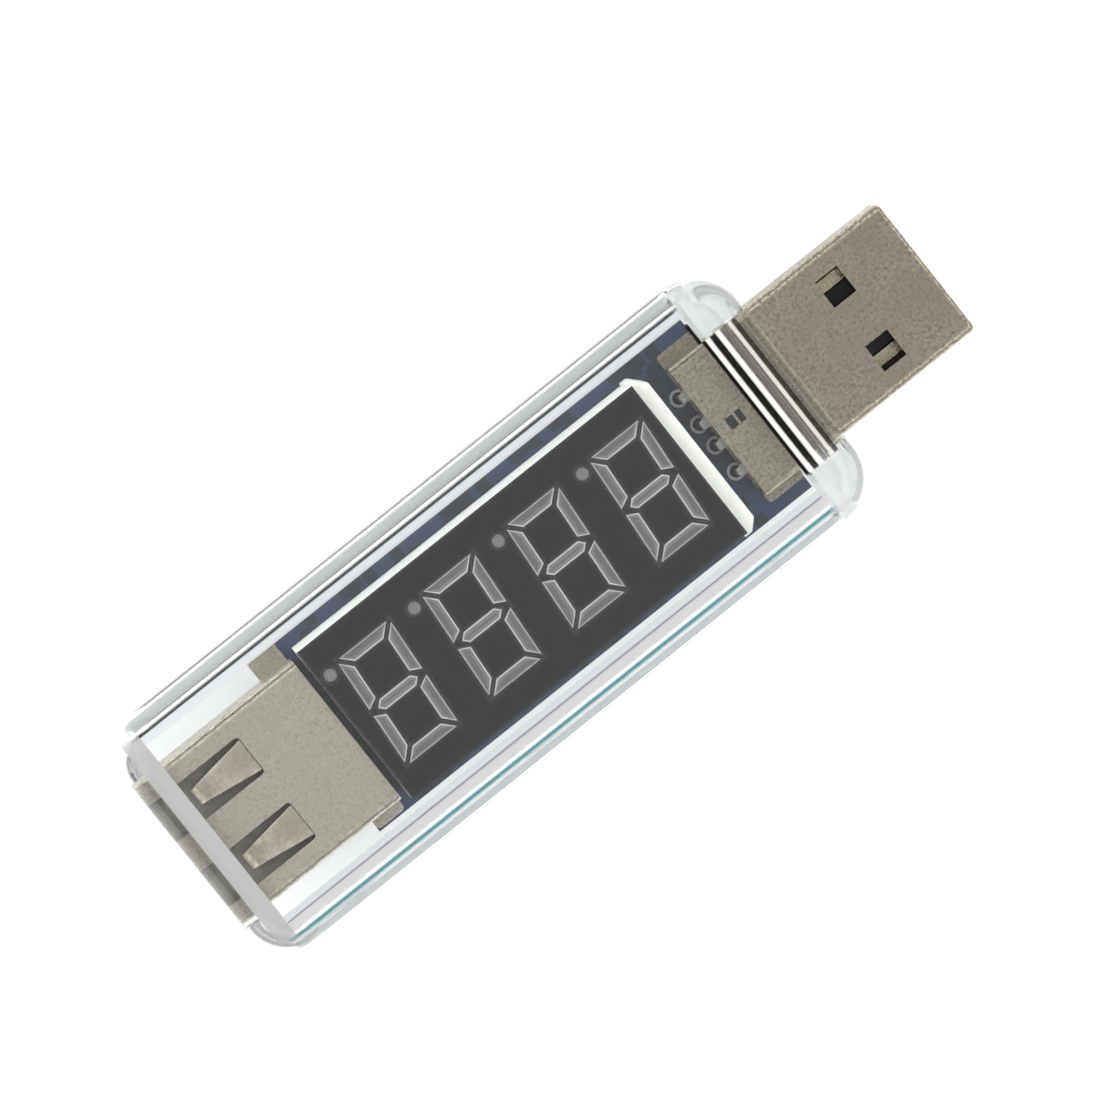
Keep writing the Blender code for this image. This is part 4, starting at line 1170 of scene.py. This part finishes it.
@dataclass
class Plug:
    """The sheet-metal plug, its block and its four contact strips."""

    sheet: float = 0.3 * MM
    corner: float = 0.6 * MM
    tip_corner: float = 0.35 * MM
    half_width: float = 6.0 * MM
    latch_to_tip: float = 6.35 * MM
    latch: tuple[float, float] = (2.1 * MM, 2.4 * MM)
    latch_spacing: float = 6.1 * MM
    foot_length: float = 3.4 * MM
    stamp_from_rear: float = 1.8 * MM
    stamps: tuple[float, float] = (0.7 * MM, 0.5 * MM)
    stamp_width: float = 1.0 * MM
    stamp_bridge: float = 0.2 * MM
    leg_from: float = 16.4 * MM
    foot_inset: float = 0.05 * MM
    foot_corner: float = 0.35 * MM
    past: float = 0.5 * MM
    soft: float = 0.07 * MM
    block_soft: float = 0.06 * MM
    strip_soft: float = 0.04 * MM
    segments: int = 8

    def tube(self) -> Item:
        """The folded shell without its holes."""
        low, high = low_high("plug_shell")
        bm = new_block((low.x, -self.half_width, low.z), (high.x, self.half_width, high.z))
        round_edges(bm, edges_along(bm, 0), self.corner, self.segments)
        round_edges(bm, edges_at(bm, 0, high.x), self.tip_corner, self.segments // 2)
        bmesh.ops.recalc_face_normals(bm, faces=bm.faces)
        ends = faces_at(bm, 0, high.x) + faces_at(bm, 0, low.x)
        bmesh.ops.delete(bm, geom=ends, context="FACES_ONLY")
        shell = new_item("plug_shell_sheet", bm, Look.PLUG)
        fold_sheet(shell, self.sheet, -1)
        return shell

    def build_shell(self) -> None:
        """The shell with its latch windows, stamp and solder feet."""
        low, high = low_high("plug_shell")
        shell = self.tube()
        middle = high.x - self.latch_to_tip
        for side in (-1, 1):
            y = side * self.latch_spacing / 2
            window = new_block(
                (middle - self.latch[0] / 2, y - self.latch[1] / 2, low.z - self.past),
                (middle + self.latch[0] / 2, y + self.latch[1] / 2, high.z + self.past),
            )
            combine(shell, window, "DIFFERENCE", Look.PLUG)
        start = low.x + self.stamp_from_rear - self.stamp_bridge / 2 - self.stamps[0]
        for length in self.stamps:
            stamp = new_block(
                (start, -self.stamp_width / 2, high.z - 2 * self.sheet),
                (start + length, self.stamp_width / 2, high.z + self.past),
            )
            combine(shell, stamp, "DIFFERENCE", Look.PLUG)
            start += length + self.stamp_bridge
        for side in (-1, 1):
            y = sorted((side * (self.half_width - self.sheet / 2), side * high.y))
            foot = new_block(
                (low.x + self.foot_inset, y[0], low.z), (low.x + self.foot_length, y[1], low.z + self.sheet)
            )
            corners = [e for e in edges_along(foot, 2) if abs(abs(e.verts[0].co.y) - high.y) < TINY]
            round_edges(foot, corners, self.foot_corner, self.segments // 2)
            combine(shell, foot, "UNION", Look.PLUG)
        soften(shell, self.soft)
        settle(shell, ("plug_shell",))

    def build(self) -> None:
        """Builds the plug."""
        self.build_shell()
        refine("plug_insulator", "black_nylon", self.block_soft, Look.BLACK_NYLON)
        for i in CONTACTS:
            strip = clean_copy(f"plug_contact_{i}", Look.GOLD, Look.TIN)
            bm = bmesh.new()
            bm.from_mesh(strip.data)
            cut_across(bm, 0, self.leg_from)
            bm.to_mesh(strip.data)
            bm.free()
            for face in strip.data.polygons:
                face.material_index = int(face.center.x < self.leg_from)
            soften(strip, self.strip_soft)
            settle(strip, (f"plug_contact_{i}",))


# Socket


@dataclass
class Socket:
    """The sheet-metal socket, its block, four retention tongues and four contact leaves."""

    sheet: float = 0.3 * MM
    corner: float = 0.6 * MM
    half_width: float = 6.55 * MM
    flare: float = 0.25 * MM
    flare_length: float = 0.6 * MM
    mouth_back: float = 0.149 * MM
    window: float = 3.4 * MM
    window_corner: float = 0.3 * MM
    window_end: float = -26.9 * MM
    lower_window: float = 1.2 * MM
    spacing: float = 6.2 * MM
    floor_cut: tuple[float, float] = (2.5 * MM, 10.6 * MM)
    foot: tuple[float, float] = (2.6 * MM, 0.2 * MM)
    foot_corner: float = 0.35 * MM
    spring_sheet: float = 0.28 * MM
    spring_length: float = 5.4 * MM
    spring_widths: tuple[float, float] = (2.8 * MM, 1.3 * MM)
    spring_root: float = 0.05 * MM
    spring_end: float = 0.95
    spring_crest: float = 0.84
    spring_ease: int = 4
    spring_curl: float = 0.55
    spring_depth: float = 0.93
    spring_steps: int = 28
    spring_soft: float = 0.05 * MM
    past: float = 0.5 * MM
    soft: float = 0.07 * MM
    block_soft: float = 0.06 * MM
    strip_soft: float = 0.04 * MM
    segments: int = 8

    def build_shell(self) -> None:
        """The folded shell with its flared mouth, windows and solder feet."""
        low, high = low_high("socket_shell")
        bottom, top = low.z + self.flare, high.z - self.flare
        mouth, rear = low.x + self.mouth_back, high.x
        flare_from = mouth + self.flare_length
        bm = new_block((flare_from, -self.half_width, bottom), (rear, self.half_width, top))
        round_edges(bm, edges_along(bm, 0), self.corner, self.segments)
        inner = faces_at(bm, 0, flare_from)
        grown = bmesh.ops.extrude_face_region(bm, geom=inner)["geom"]
        bmesh.ops.delete(bm, geom=[f for f in inner if f.is_valid], context="FACES_ONLY")
        centre = (bottom + top) / 2
        wide, tall = 1 + self.flare / self.half_width, 1 + self.flare / (top - centre)
        for vert in [g for g in grown if isinstance(g, Vert)]:
            vert.co = (mouth, vert.co.y * wide, centre + (vert.co.z - centre) * tall)
        bmesh.ops.recalc_face_normals(bm, faces=bm.faces)
        bmesh.ops.delete(bm, geom=faces_at(bm, 0, mouth) + faces_at(bm, 0, rear), context="FACES_ONLY")
        shell = new_item("socket_shell_sheet", bm, Look.SHELL)
        fold_sheet(shell, self.sheet, -1)
        upper = (low.x - self.past, centre, high.z + self.past)
        lower = (mouth + self.lower_window, low.z - self.past, centre)
        for start_x, low_z, high_z in (upper, lower):
            for side in (-1, 1):
                y = side * self.spacing / 2
                slot = new_block(
                    (start_x, y - self.window / 2, low_z), (self.window_end, y + self.window / 2, high_z)
                )
                ends = [e for e in edges_along(slot, 2) if abs(e.verts[0].co.x - self.window_end) < TINY]
                round_edges(slot, ends, self.window_corner, self.segments // 2)
                combine(shell, slot, "DIFFERENCE", Look.SHELL)
        cut = new_block(
            (rear - self.floor_cut[0], -self.floor_cut[1] / 2, bottom - self.past),
            (rear + self.past, self.floor_cut[1] / 2, bottom + 2 * self.sheet),
        )
        combine(shell, cut, "DIFFERENCE", Look.SHELL)
        for side in (-1, 1):
            y = sorted((side * (self.half_width - self.sheet / 2), side * high.y))
            front = rear - self.foot[1]
            tab = new_block((front - self.foot[0], y[0], bottom), (front, y[1], bottom + self.sheet))
            corners = [e for e in edges_along(tab, 2) if abs(abs(e.verts[0].co.y) - high.y) < TINY]
            round_edges(tab, corners, self.foot_corner, self.segments // 2)
            combine(shell, tab, "UNION", Look.SHELL)
        soften(shell, self.soft)
        settle(shell, ("socket_shell",))

    def build_spring(self, face: str, number: int) -> None:
        """One retention tongue, bowed inwards and curled up at its tip."""
        node = f"socket_spring_{face}_{number}"
        low, high = low_high(node)
        inwards = -1 if face == "top" else 1
        sheet_z = (high.z if face == "top" else low.z) + inwards * self.spring_sheet / 2
        depth = high.z - low.z - self.spring_sheet
        root_x = self.window_end - self.spring_root
        y = (low.y + high.y) / 2
        root_width, tip_width = self.spring_widths
        half = root_width / 2
        bm = bmesh.new()
        ends = [bm.verts.new((root_x, y - half, sheet_z)), bm.verts.new((root_x, y + half, sheet_z))]
        edge = bm.edges.new(ends)
        for i in range(1, self.spring_steps + 1):
            share = i / self.spring_steps * self.spring_end
            past_crest = max(share - self.spring_crest, 0) / (self.spring_end - self.spring_crest)
            bow = math.sin(min(share / self.spring_crest, 1.0) * math.pi / 2) ** self.spring_ease
            bow -= self.spring_curl * past_crest**2
            half = (root_width + (tip_width - root_width) * share) / 2
            grown = bmesh.ops.extrude_edge_only(bm, edges=[edge])["geom"]
            edge = next(g for g in grown if isinstance(g, Edge))
            for vert in edge.verts:
                vert.co = (
                    root_x - share * self.spring_length,
                    y + math.copysign(half, vert.co.y - y),
                    sheet_z + inwards * bow * depth * self.spring_depth,
                )
        bmesh.ops.recalc_face_normals(bm, faces=bm.faces)
        spring = new_item(f"{node}_bowed", bm, Look.SPRING)
        fold_sheet(spring, self.spring_sheet, 0)
        soften(spring, self.spring_soft, degrees=50)
        settle(spring, (node,), node)

    def build(self) -> None:
        """Builds the socket."""
        self.build_shell()
        for face in ("top", "bottom"):
            for number in (1, 2):
                self.build_spring(face, number)
        refine("socket_insulator", "black_nylon", self.block_soft, Look.DUSTY_NYLON)
        for i in CONTACTS:
            leaf = f"socket_contact_{i}"
            refine(leaf, "gold_plate", self.strip_soft, Look.GOLD, body=leaf)
            refine(f"socket_tail_{i}", "gold_plate", self.strip_soft, Look.GOLD)


# Circuit board and the parts under it


@dataclass
class Board:
    """The blue circuit board with its rings, solder and the parts under it."""

    ring: float = 0.7 * MM
    ring_hole: float = 0.48 * MM
    ring_height: float = 0.05 * MM
    solder_radius: float = 0.75 * MM
    solder_height: float = 0.6 * MM
    ring_sides: int = 24
    hole_depth: float = 0.9
    solder_tip: float = 0.32 * MM
    solder_sides: int = 20
    solder_soft: float = 0.12 * MM
    leg_half: float = 0.1 * MM
    chip_taper: float = 0.12 * MM
    leads_out: float = 1.1 * MM
    lead_count: int = 7
    lead_pitch: float = 1.27 * MM
    lead_width: float = 0.4 * MM
    lead_sheet: float = 0.18 * MM
    lead_soft: float = 0.04 * MM
    cap_bulge: float = 0.04 * MM
    cap_inset: float = 0.02 * MM
    body_inset: float = 0.5 * MM
    body_gap: float = 0.05 * MM
    body_soft: float = 0.12 * MM
    flat_width: float = 0.45 * MM
    flat_pitch: float = 0.8 * MM
    flat_length: float = 0.6 * MM
    flat_levels: tuple[float, float] = (0.25 * MM, 0.02 * MM)
    flat_soft: float = 0.05 * MM
    tab_width: float = 1.5 * MM
    soft: float = 0.06 * MM

    def leg_places(self) -> tuple[list[Vector], list[Vector]]:
        """Where legs and pins cross the board.

        Returns:
            The places with a ring on top, and every place, which has solder under it.
        """
        legs = [f"plug_contact_{i}" for i in CONTACTS]
        tails = [f"socket_tail_{i}" for i in CONTACTS]
        pins = [n for n in sorted(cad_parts) if n.startswith("display_pin_")]
        tops, all_places = [], []
        for node in legs + tails + pins:
            low, high = low_high(node)
            x = (low.x + high.x) / 2
            if node in legs:
                x = low.x + self.leg_half
            if node in tails:
                x = high.x - self.leg_half
            spot = Vector((x, (low.y + high.y) / 2, 0))
            all_places.append(spot)
            if node in legs:
                tops.append(spot)
        return tops, all_places

    def build_rings(self) -> None:
        """The tinned ring round each plug leg on top of the board."""
        top = low_high("circuit_board")[1].z
        bm = bmesh.new()
        for spot in self.leg_places()[0]:
            place = Matrix.Translation((spot.x, spot.y, top))
            circle = bmesh.ops.create_circle(
                bm, cap_ends=True, segments=self.ring_sides, radius=self.ring, matrix=place
            )["verts"]
            face = next(f for f in bm.faces if set(f.verts) == set(circle))
            raised = bmesh.ops.extrude_face_region(bm, geom=[face])["geom"]
            verts = [g for g in raised if isinstance(g, Vert)]
            bmesh.ops.translate(bm, verts=verts, vec=(0, 0, self.ring_height))
            lid = next(g for g in raised if isinstance(g, Face))
            bmesh.ops.inset_individual(bm, faces=[lid], thickness=self.ring - self.ring_hole, depth=0)
            bmesh.ops.translate(bm, verts=lid.verts[:], vec=(0, 0, -self.ring_height * self.hole_depth))
            # The floor of each hole wears the black ink: painted shade for the dark gap round the leg in its
            # hole.
            lid.material_index = 1
        bmesh.ops.recalc_face_normals(bm, faces=bm.faces)
        rings = new_item("plug_leg_rings", bm, Look.RING, Look.INK)
        settle(rings)

    def build_solder(self) -> None:
        """The cone of solder round each leg and pin under the board."""
        bottom = low_high("circuit_board")[0].z
        bm = bmesh.new()
        for spot in self.leg_places()[1]:
            place = Matrix.Translation((spot.x, spot.y, bottom - self.solder_height / 2))
            bmesh.ops.create_cone(
                bm,
                cap_ends=True,
                segments=self.solder_sides,
                radius1=self.solder_tip,
                radius2=self.solder_radius,
                depth=self.solder_height,
                matrix=place,
            )
        bmesh.ops.recalc_face_normals(bm, faces=bm.faces)
        solder = new_item("solder_cones", bm, Look.SOLDER)
        soften(solder, self.solder_soft, segments=3, degrees=30)
        settle(solder)

    def build_chip(self) -> None:
        """The controller: an epoxy body with gull-wing leads."""
        low, high = low_high("microcontroller")
        bm = new_block((low.x, low.y + self.leads_out, low.z), (high.x, high.y - self.leads_out, high.z))
        middle = (low + high) / 2
        cut_across(bm, 2, middle.z)
        for vert in bm.verts:
            if abs(vert.co.z - middle.z) > TINY:
                vert.co.x -= math.copysign(self.chip_taper, vert.co.x - middle.x)
                vert.co.y -= math.copysign(self.chip_taper, vert.co.y - middle.y)
        chip = new_item("controller_body", bm, Look.EPOXY)
        soften(chip, self.soft)
        settle(chip, ("microcontroller",))
        self.build_gull_wings(middle, high)

    def build_gull_wings(self, middle: Vector, high: Vector) -> None:
        """The controller's leads, bent from its waist towards the board.

        Args:
            middle: the middle of the chip.
            high: its highest corner.
        """
        waist, tip = middle.z, high.z - 0.1 * MM
        bends = (
            (-0.1 * MM, waist),
            (0.35 * MM, waist),
            (0.5 * MM, waist + 0.15 * MM),
            (0.6 * MM, high.z - 0.2 * MM),
            (0.7 * MM, tip),
            (self.leads_out, tip),
        )
        half = self.lead_width / 2
        bm = bmesh.new()
        for side in (-1, 1):
            root = middle.y + side * (high.y - middle.y - self.leads_out)
            path = [(root + side * out, z) for out, z in bends]
            for i in range(self.lead_count):
                x = middle.x + (i - (self.lead_count - 1) / 2) * self.lead_pitch
                ends = [bm.verts.new((x - half, *path[0])), bm.verts.new((x + half, *path[0]))]
                edge = bm.edges.new(ends)
                for y, z in path[1:]:
                    grown = bmesh.ops.extrude_edge_only(bm, edges=[edge])["geom"]
                    edge = next(g for g in grown if isinstance(g, Edge))
                    for vert in edge.verts:
                        vert.co = (vert.co.x, y, z)
        leads = new_item("controller_leads", bm, Look.TIN)
        fold_sheet(leads, self.lead_sheet, 0, even=False)
        soften(leads, self.lead_soft)
        settle(leads)

    def build_capped(self, node: str, look: Look, cap: float) -> None:
        """A chip part with a soldered metal cap at each end.

        Args:
            node: the CAD node.
            look: the finish of its middle.
            cap: the length of each cap.
        """
        low, high = low_high(node)
        bm = new_block(low, high)
        for x in (low.x + cap, high.x - cap):
            cut_across(bm, 0, x)
        middle = (low + high) / 2
        inside = [f for f in bm.faces if abs(f.calc_center_median().x - middle.x) < TINY]
        for face in bm.faces:
            face.material_index = 1
        for face in inside:
            face.material_index = 0
        bmesh.ops.inset_region(bm, faces=inside, thickness=self.cap_inset, depth=-self.cap_bulge)
        part = new_item(f"{node}_part", bm, look, Look.SOLDER)
        soften(part, self.soft)
        settle(part, (node,))

    def build_leaded(self, node: str, leads: int) -> None:
        """A small epoxy body with flat leads at the end towards the socket and a tab at the other."""
        low, high = low_high(node)
        middle = (low + high) / 2
        bm = new_block(
            (low.x, low.y + self.body_inset, low.z),
            (high.x, high.y - self.body_inset, high.z - self.body_gap),
        )
        body = new_item(f"{node}_body", bm, Look.EPOXY)
        soften(body, self.body_soft)
        settle(body, (node,))
        bm = bmesh.new()
        bottom, top = (high.z - level for level in self.flat_levels)
        half = (self.flat_width if leads > 1 else self.tab_width) / 2
        for i in range(leads):
            x = middle.x + (i - (leads - 1) / 2) * self.flat_pitch
            add_block(bm, (x - half, low.y, bottom), (x + half, low.y + self.flat_length, top))
        half = self.tab_width / 2
        add_block(bm, (middle.x - half, high.y - self.flat_length, bottom), (middle.x + half, high.y, top))
        metal = new_item(f"{node}_leads", bm, Look.TIN)
        soften(metal, self.flat_soft)
        settle(metal)

    def build(self) -> None:
        """Builds the board and what is on it."""
        refine("circuit_board", "blue_board", self.soft, Look.MASK, segments=1)
        self.build_rings()
        self.build_solder()
        self.build_chip()
        self.build_leaded("voltage_regulator", 3)
        self.build_leaded("sense_diode", 1)
        self.build_capped("shunt_resistor", Look.EPOXY, 0.7 * MM)
        for i in (1, 2, 3):
            self.build_capped(f"resistor_{i}", Look.EPOXY, 0.4 * MM)
        for i in (1, 2):
            self.build_capped(f"capacitor_{i}", Look.CERAMIC, 0.6 * MM)


# Studio


@dataclass
class Studio:
    """The floor, the light and the camera."""

    floor_half: float = 0.6
    floor_colour: str = "f4f4f4"
    distance: float = 0.70
    view_width: float = 82.5 * MM
    turn: float = math.radians(38.6)
    aim: Corner = (0.13 * MM, 0.76 * MM, 6.0 * MM)
    lean_back: float = math.radians(2.0)
    lean_left: float = math.radians(5.0)
    walls: float = 0.08
    ring: float = 1.5
    zenith: float = 0.55
    rise: tuple[float, float] = (0.3, 0.45)
    fall: tuple[float, float] = (0.8, 0.97)
    fibre: float = 0.4 * MM
    fibre_depth: float = 0.01 * MM
    fibre_strength: float = 0.2
    paper_roughness: float = 0.9
    paper_glow: float = 0.25
    sensor: float = 36.0
    clip: tuple[float, float] = (0.01, 10.0)
    lamps: tuple[tuple[str, Corner, float, float], ...] = (
        ("side_box_left", (-0.25, 0.35, 0.22), 0.3, 1.4),
        ("side_box_right", (0.2, -0.38, 0.22), 0.3, 1.0),
    )

    def build_floor(self) -> None:
        """A pale sheet under the object."""
        bm = bmesh.new()
        bmesh.ops.create_grid(bm, x_segments=1, y_segments=1, size=self.floor_half)
        floor = new_item("floor", bm)
        material = bpy.data.materials.new("white_paper")
        material.use_nodes = True
        tree = material.node_tree
        shader = tree.nodes["Principled BSDF"]
        place = add_node(tree, "ShaderNodeTexCoord").outputs["Object"]
        settings = {"Vector": place, "Scale": per(self.fibre)}
        fibre = add_node(tree, "ShaderNodeTexNoise", links=settings).outputs["Fac"]
        settings = {"Height": fibre, "Distance": self.fibre_depth, "Strength": self.fibre_strength}
        bump = add_node(tree, "ShaderNodeBump", links=settings)
        tree.links.new(bump.outputs["Normal"], shader.inputs["Normal"])
        shader.inputs["Base Color"].default_value = linear(self.floor_colour)
        shader.inputs["Roughness"].default_value = self.paper_roughness
        shader.inputs["Emission Color"].default_value = (1, 1, 1, 1)
        shader.inputs["Emission Strength"].default_value = self.paper_glow
        floor.data.materials.append(material)

    def build_world(self) -> None:
        """Even white surroundings, dimmer straight above."""
        world = bpy.data.worlds.new("soft_white_room")
        bpy.context.scene.world = world
        world.use_nodes = True
        tree = world.node_tree
        tree.nodes.clear()
        way = add_node(tree, "ShaderNodeTexCoord").outputs["Generated"]
        height = add_node(tree, "ShaderNodeSeparateXYZ", links={0: way}).outputs["Z"]
        steps = []
        for (start, end), (first, last) in (
            (self.rise, (self.walls, self.ring)),
            (self.fall, (1.0, self.zenith / self.ring)),
        ):
            settings = {"Value": height, "From Min": start, "From Max": end, "To Min": first, "To Max": last}
            smooth = {"interpolation_type": "SMOOTHSTEP"}
            steps.append(add_node(tree, "ShaderNodeMapRange", smooth, settings).outputs["Result"])
        rise, fall = steps
        strength = add_node(tree, "ShaderNodeMath", {"operation": "MULTIPLY"}, {0: rise, 1: fall})
        settings = {"Color": (1, 1, 1, 1), "Strength": strength.outputs[0]}
        sky = add_node(tree, "ShaderNodeBackground", links=settings)
        add_node(tree, "ShaderNodeOutputWorld", links={"Surface": sky.outputs[0]})

    def build_lamp(self, name: str, place: Corner, size: float, power: float) -> None:
        """A square soft box that points at the object."""
        lamp = bpy.data.lights.new(name, "AREA")
        lamp.size = size
        lamp.energy = power
        item = bpy.data.objects.new(name, lamp)
        item.location = place
        item.rotation_euler = (-Vector(place)).to_track_quat("-Z", "Y").to_euler()
        item.visible_glossy = False
        bpy.context.scene.collection.objects.link(item)

    def build_camera(self) -> None:
        """The camera, almost straight above, with the plug to its upper right."""
        right = Vector((math.cos(self.turn), -math.sin(self.turn), 0))
        back = Vector((-math.sin(self.lean_back), math.sin(self.lean_left), 1)).normalized()
        right = (right - back * right.dot(back)).normalized()
        up = back.cross(right)
        data = bpy.data.cameras.new("camera")
        data.sensor_width = self.sensor
        data.lens = data.sensor_width * self.distance / self.view_width
        data.clip_start, data.clip_end = self.clip
        data.dof.use_dof = False
        camera = bpy.data.objects.new("camera", data)
        turn = Matrix((right, up, back)).transposed()
        camera.matrix_world = Matrix.Translation(Vector(self.aim) + back * self.distance) @ turn.to_4x4()
        bpy.context.scene.collection.objects.link(camera)
        bpy.context.scene.camera = camera

    def build(self) -> None:
        """Builds the studio."""
        self.build_floor()
        self.build_world()
        for lamp in self.lamps:
            self.build_lamp(*lamp)
        self.build_camera()
        bpy.context.scene.view_settings.view_transform = "Standard"


def main() -> None:
    """Builds everything."""
    logging.basicConfig(level=logging.INFO, format="%(name)s: %(message)s")
    Studio().build()
    ClearCase().build()
    Display().build()
    Plug().build()
    Socket().build()
    Board().build()


if __name__ == "__main__":
    main()
